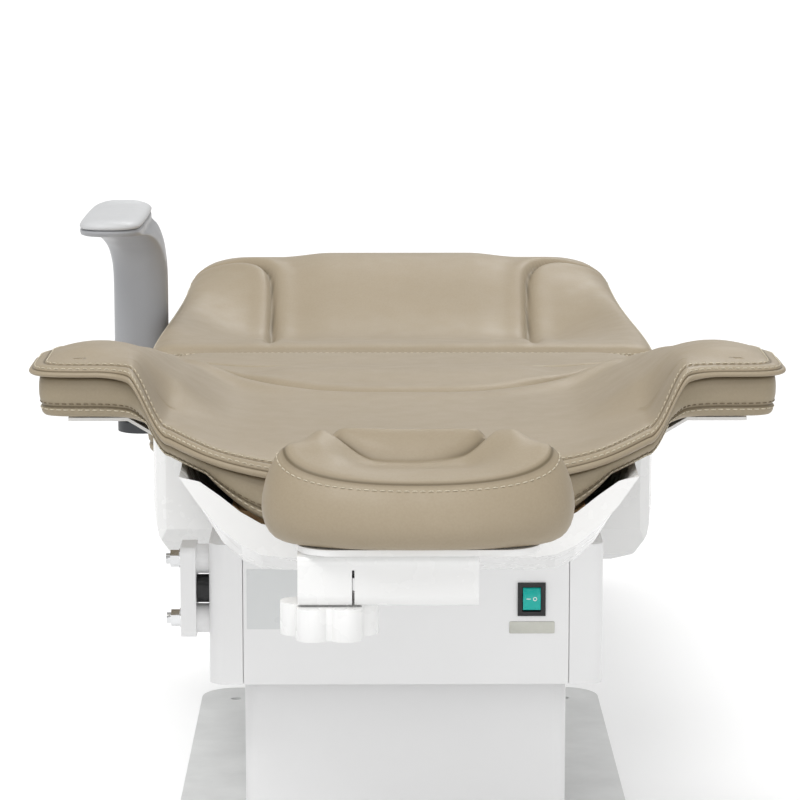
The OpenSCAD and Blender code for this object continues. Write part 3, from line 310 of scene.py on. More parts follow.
EDGE_WIDTH = {
    "box_rear_panel": 0.8, "box_left_cover": 1.2, "box_right_cover": 1.2, "mount_bracket": 1.5,
    "headrest_block": 2.5, "lock_knob": 3.0, "headrest_pan": 1.5, "switch_housing": 0.5,
    "power_rocker": 0.5, "base_plate": 1.0, "base_skirt": 1.0, "seat_shell": 1.0, "mount_bolts": 0.4,
}
for node, width in EDGE_WIDTH.items():
    round_edges(node, width)

# ---------------------------------------------------------------- numbers of the frame, in millimetres

# Heights of the upholstery when the chair lies flat
SEAT_H, PAD_T, BOXING_T = 480.0, 22.0, 28.0
PAD_BOTTOM = SEAT_H - PAD_T
BASE_BOTTOM = PAD_BOTTOM - BOXING_T

# Backrest, along s, the distance from its hip end toward the head end
BACK_FRONT, BACK_LEN = -66.0, 655.0
HIP_HALF, HIP_DRAW, HIP_ROUND = 245, 36, 45
WING_HALF, WING_CORNER = 325.0, 25.0
WING_START, WING_GROW, WING_END = 244, 104, 540
NECK_HALF, NECK_TAPER, NECK_DRAW = 242, 50, 30
WING_RISE = 68
WALL_FOOT, WALL_RUN = 201, 37
SLOPE_SHARE, WALL_SHARE = 0.34, 0.66

# Seat, along y
SEAT_REAR, SWELL_Y, CREST_Y, FOOT_Y = -42.5, 225, 435.0, 870.0
SEAT_HALF, KNEE_DRAW, FOOT_DRAW = 263, 15, 33
SEAT_HOLLOW, CREST_RISE, FOOT_FALL = 34, 66, 102

# Headrest and armrest
HEAD_Z, HEAD_SHIFT, HEAD_HALF, HEAD_Y = 442.0, 6.0, 124.0, -809.0
ARM_X, ARM_Y, ARM_PAD_X, ARM_PAD_Y, ARM_TOP = -291.0, 280.0, -311.0, 200.0, 594.0


def clamp(t):
    return np.clip(t, 0.0, 1.0)


def ease(t):
    t = clamp(t)
    return t * t * (3 - 2 * t)


def bell(d, width):
    """1 at d = 0, falling to 0 over about two widths."""
    return np.exp(-(d / width) ** 2)


def back_half(s):
    """Half the backrest's width: hips, wings with a rounded rear corner, then the neck."""
    corner_s = WING_END - WING_CORNER
    corner = np.sqrt(np.maximum(0, WING_CORNER ** 2 - (s - corner_s) ** 2))
    tip = np.where(s < corner_s, WING_HALF, WING_HALF - WING_CORNER + corner)
    side = HIP_HALF + (WING_HALF - HIP_HALF) * ease((s - WING_START) / WING_GROW)
    wing = np.minimum(tip, side) - HIP_DRAW * (1 - clamp(s / HIP_ROUND)) ** 2
    neck = NECK_HALF - NECK_TAPER * ease((s - WING_END) / 95) - NECK_DRAW * clamp((s - 610) / 45) ** 2
    return np.where(s <= WING_END, wing, neck)


def back_turn(s):
    """How far the wings have turned up at distance s from the hip end."""
    t = clamp((s - 60) / 390)
    return t * (1.4 - 0.4 * t)


def back_rise(x, s):
    """How high the pad's edge line stands over the flat: a gentle slope, then the wings' steep wall."""
    slope = SLOPE_SHARE * clamp((abs(x) - 80) / 120) ** 1.6
    return WING_RISE * (slope + WALL_SHARE * ease((abs(x) - WALL_FOOT) / WALL_RUN)) * back_turn(s)


def back_low(x, s):
    """Underside of the boxed cushion, which keeps 4 mm below the pad."""
    under = (WING_RISE + 3) * ease((abs(x) - 105) / 120) * back_turn(s)
    return np.minimum(BASE_BOTTOM + under, PAD_BOTTOM + back_rise(x, s) - 4)


def crease_line(x):
    """Where the soft crease crosses the backrest: it runs nearer to the hips at both sides."""
    return 300 - 160 * clamp((abs(x) - 30) / 200) ** 2


def waist_line(x):
    """The fainter crease nearer to the hips."""
    return 134 - 26 * clamp((abs(x) - 60) / 170) ** 2


def back_high(x, s):
    """Top of the backrest pad: crowned and creased in the middle, swept up and plump on the wings."""
    out = abs(x)
    crown = 6 * (1 - ease((out - 90) / 70)) * ease((s - 90) / 70) * ease((BACK_LEN - s) / 90)
    lumbar = 5 * bell(s - 210, 50) * (1 - ease((out - 110) / 60))
    side = ease((out - 95) / 80)
    past = s - crease_line(x)
    fold = (5.5 + 6.0 * side) * bell(past, 7.5 - 2.5 * side) + 5.0 * bell(s - waist_line(x), 6)
    puff = (2 + 5 * side) * (bell(past - 26, 20) + 0.6 * bell(past + 20, 14)) * ease((238 - out) / 40)
    wall_end = WING_END - 18
    lap = 0.75 * ease((wall_end - s) / 90) * ease((s - 150) / 120)
    sweep = ease((out - 148) / 104) - ease((out - WALL_FOOT) / WALL_RUN)
    sweep = WING_RISE * back_turn(s) * WALL_SHARE * sweep
    plump = 6 * ease((out - 225) / 45) * ease((WING_HALF - out) / 50)
    plump = plump * ease((s - 330) / 60) * ease((wall_end - s) / 50)
    return SEAT_H + back_rise(x, s) + crown + lumbar + puff - fold + lap * sweep + plump


def back_crease_shade(x, s):
    """How much painted shade darkens the creases, 0 to 1."""
    side = ease((abs(x) - 90) / 90)
    return (0.3 + 0.65 * side) * bell(s - crease_line(x), 2.6) + 0.45 * bell(s - waist_line(x), 2.6)


def back_place(x, s, z):
    """Points of the backrest in metres. The corners of its head end lie nearer to the hips."""
    sag = 22 * ease((s - 560) / 95) * (x / back_half(np.minimum(s, BACK_LEN))) ** 2
    return np.stack([x, BACK_FRONT - s + sag, z], -1) * MM


def seat_half(y):
    """Half the seat's width, with rounded corners at the foot end and the hips."""
    def fall(d, r):
        d = np.clip(d, 0, r)
        return r - np.sqrt(r * r - (r - d) ** 2)
    legs = ease((y - CREST_Y) / (FOOT_Y - CREST_Y))
    return (SEAT_HALF - KNEE_DRAW * ease(y / CREST_Y) - FOOT_DRAW * legs
            - 0.8 * fall(FOOT_Y - y, 60) - 0.9 * fall(y - SEAT_REAR, 22))


def seat_smooth(x, y):
    """Top of the seat without seams: a hollow with raised sides, the knee crest, the fall to the foot."""
    line = (SEAT_H - SEAT_HOLLOW * ease((y - SEAT_REAR) / (SWELL_Y - SEAT_REAR))
            + CREST_RISE * ease((y - SWELL_Y) / (CREST_Y - SWELL_Y))
            - FOOT_FALL * clamp((y - CREST_Y) / (FOOT_Y - CREST_Y)) ** 1.4)
    groove = 138 + 10 * clamp(y / CREST_Y) + 34 * ease((y - CREST_Y) / 60)
    legs_side = -24 + 14 * ease((y - CREST_Y) / 150)
    hips_side = SEAT_H - 2 + 10 * clamp(y / CREST_Y) - line
    side = np.where(y > CREST_Y, legs_side, hips_side)
    run = clamp((abs(x) - groove) / np.maximum(20, seat_half(y) - groove))
    return line + side * run ** np.where(side > 0, 1.5, 2.0)


def board_line(y):
    """Top of the board under the seat."""
    return SEAT_H - 90 - 45 * clamp((y - CREST_Y) / (FOOT_Y - CREST_Y))


def path_distance(x, y, path):
    """Distance of points from an open polyline."""
    best = np.full(np.shape(x), 1e9)
    for (ax, ay), (bx, by) in zip(path[:-1], path[1:]):
        dx, dy = bx - ax, by - ay
        t = clamp(((x - ax) * dx + (y - ay) * dy) / (dx * dx + dy * dy))
        best = np.minimum(best, np.hypot(x - ax - t * dx, y - ay - t * dy))
    return best


def rounded_path(corners, rounds=4):
    """Chaikin's corner cutting on an open path."""
    path = np.array(corners, float)
    for _ in range(rounds):
        cut = np.stack([path[:-1] * 0.75 + path[1:] * 0.25, path[:-1] * 0.25 + path[1:] * 0.75], 1)
        path = np.concatenate([path[:1], cut.reshape(-1, 2), path[-1:]])
    return path


# The seam beside each bolster, from the hips to the knee crest, where it turns out to the edge
BOLSTER_SEAM = rounded_path([(137, -43), (138, 20), (141, 150), (144, 290), (146, 368), (153, 396),
                             (168, 414), (192, 430), (256, 448)])


def seat_groove(x, y):
    return path_distance(abs(x), y, BOLSTER_SEAM)


def seat_high(x, y):
    """Top of the seat pad with its crown and the bolsters' seams."""
    crown = 5 * (1 - ease((abs(x) - 80) / 60)) * ease((y - 20) / 100) * ease((FOOT_Y - y) / 100)
    groove = seat_groove(x, y)
    depth = ease((y + 40) / 90)
    puff = 2.5 * bell(groove - 13, 11) * depth
    return seat_smooth(x, y) + crown + puff - 7.5 * bell(groove, 4.6) * depth


# How much painted shade darkens the seams beside the bolsters, 0 to 1.
def seat_crease_shade(x, y):
    return 0.95 * bell(seat_groove(x, y), 2.4) * ease((y + 40) / 90)


# The fold round the neck hollow of the headrest
HEAD_FOLD = rounded_path([(-76, -738), (-72, -752), (-66, -770), (-50, -786), (-26, -795), (0, -797),
                          (24, -795), (48, -788), (62, -772), (66, -752), (68, -738)])


def head_high(x, y):
    """Top of the headrest: a crescent rim round a neck hollow."""
    across = x - HEAD_SHIFT
    rim = 496 + 24 * ease((y + 862) / 90) + 8 * clamp(abs(across) / 112) ** 2.2
    neck = 13 * bell(y + 803, 22) * (1 - ease((abs(across) - 35) / 45))
    fold = path_distance(x, y, HEAD_FOLD)
    inside = ease((y - np.interp(x, HEAD_FOLD[:, 0], HEAD_FOLD[:, 1])) / 24)
    inside = inside * (1 - ease((abs(x + 3) - 62) / 12))
    sides = ease((abs(across) - 12) / 40)
    back = 8 * ease((y + 766) / 22) + 26 * ease((abs(across) - 74) / 34) * ease((y + 815) / 55)
    return rim - neck + 3.5 * inside - (3.0 + 3.0 * sides) * bell(fold, 5) - back


# How much painted shade darkens the fold round the neck hollow, 0 to 1.
def head_crease_shade(x, y):
    return (0.3 + 0.6 * ease((abs(x) - 20) / 30)) * bell(path_distance(x, y, HEAD_FOLD), 2.2)


# ---------------------------------------------------------------- mesh builders

def unit(vectors):
    return vectors / np.linalg.norm(vectors, axis=1, keepdims=True)


def ring_faces(count, rings, first=0):
    """Quads between rings of count points each, which are numbered ring after ring from first."""
    index = np.arange(count)
    after = np.roll(index, -1)
    faces = []
    for k in range(rings - 1):
        near, far = first + k * count, first + (k + 1) * count
        faces += np.stack([near + index, near + after, far + after, far + index], 1).tolist()
    return faces


def make_mesh(name, points, faces, crease=None, material=None, smooth=True):
    mesh = bpy.data.meshes.new(name)
    mesh.from_pydata(points.tolist(), [], faces)
    # The crease attribute holds painted shade for the leather, 0 to 1.
    if crease is not None:
        layer = mesh.attributes.new("crease", "FLOAT", "POINT")
        layer.data.foreach_set("value", np.asarray(crease, np.float32))
    work = bmesh.new()
    work.from_mesh(mesh)
    bmesh.ops.remove_doubles(work, verts=work.verts, dist=MERGE)
    bmesh.ops.recalc_face_normals(work, faces=work.faces)
    work.to_mesh(mesh)
    work.free()
    if smooth:
        mesh.shade_smooth()
    piece = bpy.data.objects.new(name, mesh)
    bpy.context.scene.collection.objects.link(piece)
    if material:
        mesh.materials.append(material)
    return piece


def soften(values, reach):
    """Closed curve of values, averaged along itself over about reach points to each side."""
    offsets = np.arange(-3 * reach, 3 * reach + 1)
    weights = np.exp(-0.5 * (offsets / max(reach, 1)) ** 2)
    weights /= weights.sum()
    out = np.zeros_like(values)
    for k, w in zip(offsets, weights):
        out += w * np.roll(values, -k, axis=0)
    return out


def outline_of(corners, count, fillet, turn):
    """An even closed outline through corners, in count points, with its inward directions.

    fillet and turn say over how many points corners and directions are rounded."""
    corners = np.array(corners, float)
    closed = np.vstack([corners, corners[:1]])
    run = np.concatenate([[0], np.cumsum(np.hypot(*np.diff(closed, axis=0).T))])
    at = np.linspace(0, run[-1], count, endpoint=False)
    points = np.stack([np.interp(at, run, closed[:, i]) for i in (0, 1)], 1)
    points = soften(points, fillet)
    along = np.roll(points, -1, 0) - np.roll(points, 1, 0)
    inward = np.stack([-along[:, 1], along[:, 0]], 1)
    area = np.sum(points[:, 0] * np.roll(points[:, 1], -1) - points[:, 1] * np.roll(points[:, 0], -1))
    if area < 0:
        inward = -inward
    return points, unit(soften(unit(inward), turn))


def no_crease_shade(x, y):
    return np.zeros_like(x)


def cushion(name, outline, profile, spine, low, high, place, crease, top_rings, low_rings, material):
    """A closed pad: its side follows profile (inset, share of height, painted crease shade), its faces fill
    to a spine.
    """
    points, inward = outline
    rings, marks = [], []

    def add(plan, share, mark):
        x, y = plan[:, 0], plan[:, 1]
        bottom, top = low(x, y), high(x, y)
        rings.append(place(x, y, bottom + (top - bottom) * share))
        marks.append(np.broadcast_to(mark, x.shape))

    def fill(edge, count, share, mark):
        middle = spine(edge)
        for k in range(1, count + 1):
            plan = edge + (middle - edge) * (k / count)
            add(plan, share, mark(plan[:, 0], plan[:, 1]))

    edge = points + inward * profile[0][0]
    fill(edge, low_rings, profile[0][1], no_crease_shade)
    rings.reverse()
    marks.reverse()
    for inset, share, mark in profile:
        add(points + inward * inset, share, mark)
    fill(points + inward * profile[-1][0], top_rings, 1.0, crease)
    faces = ring_faces(len(points), len(rings))
    piece = make_mesh(name, np.concatenate(rings), faces, np.concatenate(marks), material)
    work = bmesh.new()
    work.from_mesh(piece.data)
    thin = [f for f in work.faces if f.calc_area() < NO_AREA]
    bmesh.ops.delete(work, geom=thin, context="FACES")
    work.to_mesh(piece.data)
    work.free()
    return piece


def profile_path(outline, inset, share, low, high, place, lift=0.0):
    """One line along a pad's side, lifted off it, with the directions inward and up from the side."""
    points, inward = outline

    def at(extra):
        plan = points + inward * (inset + extra)
        x, y = plan[:, 0], plan[:, 1]
        bottom, top = low(x, y), high(x, y)
        return place(x, y, bottom + (top - bottom) * share)

    path = at(0.0)
    inner = unit(at(1.0) - path)
    up = np.cross(unit(np.roll(path, -1, 0) - np.roll(path, 1, 0)), inner)
    up[up[:, 2] < 0] *= -1
    return path + lift * MM * up, inner, up


def stitches(name, path, normal, body, material, length=4.4, step=6.2, radius=0.55, closed=True):
    """A row of thread stitches along a path, each a small bowed loop whose ends go into the leather."""
    loop = np.vstack([path, path[:1]]) if closed else path
    normal = np.vstack([normal, normal[:1]]) if closed else normal
    run = np.concatenate([[0], np.cumsum(np.linalg.norm(np.diff(loop, axis=0), axis=1))])
    count = int(run[-1] / (step * MM))
    centres = (np.arange(count) + 0.5) * run[-1] / count

    def sample(values, at):
        return np.stack([np.interp(at, run, values[:, i]) for i in range(3)], -1)

    # Along one stitch: the place in its length, how far it stands off the leather, and its thickness
    stations = ((-0.5, -0.9, 0.55), (-0.36, 0.35, 0.95), (0.0, 0.75, 1.0),
                (0.36, 0.35, 0.95), (0.5, -0.9, 0.55))
    sides = 6
    near = 0.4 * MM
    blocks = []
    for station, lift, size in stations:
        at = centres + station * length * MM
        ahead = unit(sample(loop, at + near) - sample(loop, at - near))
        up = unit(sample(normal, at))
        across = unit(np.cross(ahead, up))
        centre = sample(loop, at) + up * (lift * radius * MM)
        ring = []
        for k in range(sides):
            a = 2 * math.pi * k / sides
            ring.append(centre + (across * math.cos(a) + up * math.sin(a)) * (radius * size * MM))
        blocks.append(np.stack(ring, 1))
    points = np.stack(blocks, 1).reshape(-1, 3)
    per = len(stations) * sides
    faces = []
    for n in range(count):
        base = n * per
        faces += ring_faces(sides, len(stations), base)
        faces.append(tuple(base + k for k in range(sides - 1, -1, -1)))
        faces.append(tuple(base + per - sides + k for k in range(sides)))
    piece = make_mesh(name, points, faces, None, material)
    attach(piece, body)
    return piece


def thread(name, colour):
    """Sewing thread, twisted, its colour, gloss and relief varied by stretched noise."""
    net = Net(name)
    twist = net.noise(900, 2, 0.5, stretch=(1.0, 1.0, 0.4))
    shade = [c * 0.86 for c in colour]
    net.set(Base_Color=net.mix(net.spread(twist, 0.3, 0.7, 0, 1), linear(colour), linear(shade)))
    net.set(Roughness=net.spread(twist, 0.3, 0.7, 0.5, 0.7), Sheen_Weight=0.2)
    net.set(Normal=net.bump(twist, 0.12 * MM))
    return net.material


THREAD = thread("cream_thread", (214, 203, 178))
THREAD_DARK = thread("shaded_thread", (120, 106, 80))

# ---------------------------------------------------------------- backrest pad

# Each edge list goes up the side of a pad: how far in from the outline in millimetres, the share of the
# pad's height, and how much painted shade darkens the leather there, under lips, in grooves and at tucks.

# Backrest pad: underside, outer lip, groove, stitched band, groove, shoulder
BACK_EDGE = [
    (9.0, 0.04, 0.3), (5.2, 0.0, 0.25), (2.6, 0.03, 0.1), (1.0, 0.10, 0), (0.2, 0.20, 0), (0.5, 0.30, 0),
    (1.6, 0.375, 0), (2.9, 0.41, 0.25), (3.9, 0.40, 0.9), (4.3, 0.43, 0.95), (4.2, 0.475, 0.3),
    (4.8, 0.56, 0), (6.2, 0.66, 0), (8.2, 0.74, 0), (10.4, 0.79, 0), (12.2, 0.805, 0.1),
    (13.5, 0.78, 0.85), (14.3, 0.785, 0.9), (15.2, 0.83, 0.25), (17.0, 0.89, 0), (20.0, 0.94, 0),
    (24.0, 0.972, 0), (29.0, 0.992, 0), (35.0, 1.0, 0)]


def mirrored(right):
    """A closed outline from its right half, which starts and ends on the middle line."""
    return right + [(-x, along) for x, along in reversed(right[1:-1])]


def back_corners():
    right = [(x, 0.0) for x in np.linspace(0, 205, 40)]
    right += [(float(back_half(np.array(s))), s) for s in np.linspace(1, WING_END - 2, 260)]
    right += [(x, WING_END + 0.5) for x in np.linspace(291, 249, 18)]
    right += [(float(back_half(np.array(s))), s) for s in np.linspace(WING_END + 6, BACK_LEN - 3, 60)]
    right += [(x, BACK_LEN) for x in np.linspace(158, 0, 40)]
    return mirrored(right)


BACK_OUTLINE = outline_of(back_corners(), 720, 3, 9)


def back_spine(edge):
    """The middle line that the backrest's rings close on."""
    out = np.zeros_like(edge)
    out[:, 1] = np.clip(edge[:, 1], 170, 500)
    return out


def back_pad_low(x, s):
    """The pad's edge is thinner than its middle, most so out on the wings."""
    return SEAT_H - 14.5 + 3 * ease((abs(x) - 226) / 40) + back_rise(x, s)


back_pad = cushion("backrest_pad", BACK_OUTLINE, BACK_EDGE, back_spine, back_pad_low, back_high, back_place,
                   back_crease_shade, 60, 10, LEATHER)
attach(back_pad, "backrest")
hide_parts("back_cushion")

# Stitched all round but for the hip end
HIP_BARE = 24.0
for name, inset, share in (("backrest_outer_stitches", 5.5, 0.615), ("backrest_inner_stitches", 16.4, 0.872)):
    path, inner, up = profile_path(BACK_OUTLINE, inset, share, back_pad_low, back_high, back_place, 0.15)
    slope = unit(up - inner * 0.7)
    shown = path[:, 1] < (BACK_FRONT - HIP_BARE) * MM
    first = int(np.argmax(shown & ~np.roll(shown, 1)))
    order = np.roll(np.arange(len(path)), -first)[:int(shown.sum())]
    row = stitches(name, path[order], slope[order], "backrest", THREAD, closed=False)

# Boxed cushion below it: underside, stitched lower band, seam, boxing that bulges, tucked top
BASE_EDGE = [
    (26, 0.0, 0.2), (17, 0.0, 0.1), (13.4, 0.02, 0), (11.6, 0.07, 0), (10.8, 0.14, 0), (11.0, 0.20, 0),
    (12.2, 0.245, 0.8), (12.4, 0.265, 0.9), (11.0, 0.30, 0.2), (9.8, 0.38, 0), (9.0, 0.50, 0), (8.8, 0.64, 0),
    (9.0, 0.78, 0), (9.6, 0.90, 0.3), (10.6, 0.97, 0.7), (15, 1.0, 0.8), (24, 1.0, 0.5)]


def base_high(x, s):
    return back_pad_low(x, s) - 0.4


back_box = cushion("backrest_boxing", BACK_OUTLINE, BASE_EDGE, back_spine, back_low, base_high, back_place,
                   no_crease_shade, 8, 12, LEATHER_SHADED_SIDE)
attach(back_box, "backrest")
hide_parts("back_base_cushion")

for name, inset, share, colour in (("boxing_upper_stitches", 10.6, 0.335, THREAD_DARK),
                                   ("boxing_lower_stitches", 11.0, 0.19, THREAD)):
    path, inner, up = profile_path(BACK_OUTLINE, inset, share, back_low, base_high, back_place)
    row = stitches(name, path - inner * 0.3 * MM, -inner, "backrest", colour)

# ---------------------------------------------------------------- seat

# Seat pad: underside, outer lip, groove, shoulder
SEAT_EDGE = [
    (10.0, 0.03, 0.3), (5.6, 0.0, 0.25), (2.8, 0.03, 0.1), (1.0, 0.10, 0), (0.2, 0.20, 0), (0.5, 0.31, 0),
    (1.8, 0.40, 0.1), (3.4, 0.44, 0.85), (4.0, 0.47, 0.9), (4.2, 0.53, 0.2), (5.2, 0.63, 0), (7.2, 0.74, 0),
    (10.4, 0.84, 0), (15.0, 0.92, 0), (21.0, 0.97, 0), (28.0, 1.0, 0)]


def seat_corners():
    right = [(x, SEAT_REAR) for x in np.linspace(0, 236, 40)]
    right += [(float(seat_half(np.array(y))), y) for y in np.linspace(SEAT_REAR + 0.6, FOOT_Y - 0.6, 420)]
    right += [(x, FOOT_Y) for x in np.linspace(154, 0, 30)]
    return mirrored(right)


SEAT_OUTLINE = outline_of(seat_corners(), 760, 3, 10)


def seat_spine(edge):
    """The middle line that the seat's rings close on."""
    out = np.zeros_like(edge)
    out[:, 1] = np.clip(edge[:, 1], 110, 720)
    return out


def seat_place(x, y, z):
    return np.stack([x, y, z], -1) * MM


def seat_pad_low(x, y):
    return seat_smooth(x, y) - PAD_T


seat_pad = cushion("seat_pad", SEAT_OUTLINE, SEAT_EDGE, seat_spine, seat_pad_low, seat_high, seat_place,
                   seat_crease_shade, 56, 8, LEATHER)
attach(seat_pad, "lift")
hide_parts("seat_cushion")
path, inner, up = profile_path(SEAT_OUTLINE, 5.0, 0.60, seat_pad_low, seat_high, seat_place, 0.2)
row = stitches("seat_edge_stitches", path, unit(up - inner), "lift", THREAD)

# Boxed cushion below it: wrapped underside, seam, boxing that bulges past the outline, tucked top
SEAT_BASE_EDGE = [
    (34, 0.0, 0.2), (16, 0.0, 0.1), (7, 0.01, 0), (2.2, 0.03, 0), (-0.4, 0.06, 0), (-1.2, 0.10, 0),
    (0.2, 0.125, 0.8), (0.4, 0.135, 0.9), (-1.6, 0.16, 0.2), (-3.4, 0.26, 0), (-4.4, 0.42, 0),
    (-4.8, 0.60, 0), (-4.4, 0.78, 0), (-3.2, 0.90, 0), (-0.8, 0.965, 0.1), (2.6, 0.99, 0.6),
    (9, 1.0, 0.8), (24, 1.0, 0.5)]


def seat_base_low(x, y):
    """The underside lies on the board and wraps down round its sides, up to the knees."""
    wrap = 30 * ease((abs(x) - seat_half(y) + 51) / 40) * (1 - ease((y - CREST_Y + 135) / 150))
    return board_line(y) + 0.3 - wrap


def seat_base_high(x, y):
    return seat_smooth(x, y) - PAD_T - 0.4


def seat_base_place(x, y, z):
    """The rear wall leans clear of the hinge's sweep, and the sides draw in beside the armrest."""
    lean = np.clip((470 - z) / 80, 0, 1) * 20 * (1 - ease((y - SEAT_REAR) / 70))
    swing = 5 * bell(y - ARM_Y, 60) * ease((abs(x) - seat_half(y) + 20) / 20)
    return np.stack([x - np.sign(x) * swing, y + lean, z], -1) * MM


seat_box = cushion("seat_boxing", SEAT_OUTLINE, SEAT_BASE_EDGE, seat_spine, seat_base_low, seat_base_high,
                   seat_base_place, no_crease_shade, 8, 10, LEATHER_SHADED_SIDE)
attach(seat_box, "lift")
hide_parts("seat_base_cushion")

# ---------------------------------------------------------------- headrest

# Headrest pad: underside, round lower side, tapering band, groove, shoulder
HEAD_EDGE = [
    (18, 0.0, 0.2), (13, 0.012, 0.1), (9.0, 0.045, 0), (5.6, 0.095, 0), (3.0, 0.16, 0), (1.2, 0.24, 0),
    (0.3, 0.34, 0), (0.9, 0.46, 0), (3.2, 0.60, 0), (6.9, 0.73, 0), (11.0, 0.84, 0), (14.6, 0.905, 0),
    (16.8, 0.94, 0.35), (17.8, 0.945, 0.9), (18.6, 0.955, 0.9), (19.8, 0.975, 0.25), (22.0, 0.99, 0),
    (26.0, 1.0, 0)]


def head_corners():
    """Two half superellipses: a rounder one on the head side, a squarer, tapered one on the neck side."""
    count, neck_deep = 240, 64.0
    out = []
    for k in range(count):
        a = 2 * math.pi * k / count - math.pi / 2
        c, s = math.cos(a), math.sin(a)
        power, deep = (2 / 2.35, 68.0) if s < 0 else (2 / 3.4, neck_deep)
        x = HEAD_HALF * math.copysign(abs(c) ** power, c)
        y = deep * math.copysign(abs(s) ** power, s)
        out.append((HEAD_SHIFT + x * (1 - 0.08 * max(0.0, y) / neck_deep), HEAD_Y + y))
    return out


HEAD_OUTLINE = outline_of(head_corners(), 420, 3, 9)


def head_spine(edge):
    """The cross line that the headrest's rings close on."""
    reach = 45
    x = np.clip(edge[:, 0], HEAD_SHIFT - reach, HEAD_SHIFT + reach)
    return np.stack([x, np.full(len(edge), HEAD_Y + 3)], 1)


def head_low(x, y):
    return np.full(np.shape(x), HEAD_Z + 0.3)


head_pad = cushion("headrest_pad", HEAD_OUTLINE, HEAD_EDGE, head_spine, head_low, head_high, seat_place,
                   head_crease_shade, 34, 8, LEATHER)
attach(head_pad, "headrest")
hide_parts("headrest_cushion")
path, inner, up = profile_path(HEAD_OUTLINE, 12.6, 0.87, head_low, head_high, seat_place, 0.3)
row = stitches("headrest_stitches", path, unit(up - inner * 0.9), "headrest", THREAD)

# ---------------------------------------------------------------- armrest

PAD_HALF, PAD_STRAIGHT, POST_HALF = 34, 86, 30
CAP_LOW, BODY_LOW, BODY_TOP = 584.4, 350.6, 584.1


def arm_plan(count, inset=0.0):
    """The armrest's outline in plan: a long rounded form, drawn in by inset."""
    a = np.linspace(0, 2 * np.pi, count, endpoint=False)
    c, d = np.cos(a), np.sin(a)
    x = ARM_PAD_X + (PAD_HALF - inset) * np.sign(c) * abs(c) ** 0.8
    y = ARM_PAD_Y + (PAD_HALF - inset) * d + PAD_STRAIGHT * np.tanh(4 * d) / np.tanh(4)
    return x, y


def arm_low(x, y):
    return np.full(np.shape(x), CAP_LOW)


def arm_high(x, y):
    """A crowned top with four low grip ribs across it."""
    across = (x - ARM_PAD_X) / PAD_HALF
    ribs = sum(bell(y - at, 1.6) for at in (270, 279, 288, 297)) * (1 - ease((abs(across) - 0.5) / 0.2))
    return ARM_TOP - 1.5 * across ** 2 + 0.9 * ribs


def arm_spine(edge):
    """The middle line that the armrest cap's rings close on."""
    reach = PAD_STRAIGHT - 2
    y = np.clip(edge[:, 1], ARM_PAD_Y - reach, ARM_PAD_Y + reach)
    return np.stack([np.full(len(edge), ARM_PAD_X), y], 1)


ARM_OUTLINE = outline_of(np.stack(arm_plan(400), 1), 400, 1, 4)
ARM_EDGE = [(7, 0.0, 0.2), (2.5, 0.0, 0.2), (1.0, 0.05, 0), (0.2, 0.16, 0), (0.0, 0.30, 0), (0.7, 0.46, 0),
            (2.2, 0.62, 0), (4.6, 0.76, 0), (8.0, 0.87, 0), (12.5, 0.95, 0), (18.0, 1.0, 0)]
arm_cap = cushion("armrest_cap", ARM_OUTLINE, ARM_EDGE, arm_spine, arm_low, arm_high, seat_place, no_crease_shade,
                  26, 4, GREY)
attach(arm_cap, "armrest")
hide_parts("armrest_pad")


def arm_body():
    """Column and tray in one moulding: an upright post that flows out into the pad's outline."""
    count, inner_rings = 128, 5
    a = np.linspace(0, 2 * np.pi, count, endpoint=False)
    c, d = np.cos(a), np.sin(a)
    post = np.stack([ARM_X + POST_HALF * np.sign(c) * abs(c) ** (2 / 3),
                     ARM_Y + POST_HALF * np.sign(d) * abs(d) ** (2 / 3)], 1)
    heights = [BODY_LOW, 351.4, 353, 360, 400, 440, 480, 500, 516, 528, 538, 546, 552, 557, 561, 564.5, 567.5,
               570, 572, 574, 576, 578, 580, 582, 583.4, 584.0, BODY_TOP]
    # How far each ring has gone from the post's outline to the pad's, and how far it is drawn in
    flow = np.interp(heights, [500, 516, 532, 547, 553, 560, 566, 570, 573, 575.5, 578, 582],
                     [0, 0.01, 0.05, 0.16, 0.23, 0.34, 0.47, 0.60, 0.78, 0.92, 0.985, 1.0])
    inset = np.interp(heights, [BODY_LOW, 353, 356, 576, 579, 582.5, BODY_TOP], [4, 1, 0, 0, 0.2, 0.6, 4.0])
    rings = []
    for z, share, draw in zip(heights, flow, inset):
        tray = np.stack(arm_plan(count, draw + 2.4 * (1 - ease((z - 572) / 8))), 1)
        shape = post + (tray - post) * share
        shape = shape + (shape.mean(0) - shape) * (draw * (1 - share) / POST_HALF)
        rings.append(np.column_stack([shape, np.full(count, z)]))
    top = rings[-1]
    for k in range(1, inner_rings + 1):
        rings.append(top + (np.array([ARM_PAD_X, ARM_PAD_Y, BODY_TOP]) - top) * (k / inner_rings * 0.98))
    bottom = rings[0] + (np.array([ARM_X, ARM_Y, BODY_LOW]) - rings[0]) * 0.55
    rings = [bottom] + rings
    faces = ring_faces(count, len(rings))
    faces.append(list(range(count - 1, -1, -1)))
    faces.append(list(range((len(rings) - 1) * count, len(rings) * count)))
    piece = make_mesh("armrest_body", np.concatenate(rings) * MM, faces, None, GREY_BODY)
    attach(piece, "armrest")
    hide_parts("armrest_column", "armrest_lower_shell")


arm_body()

# ---------------------------------------------------------------- bare plates and the switch's marks

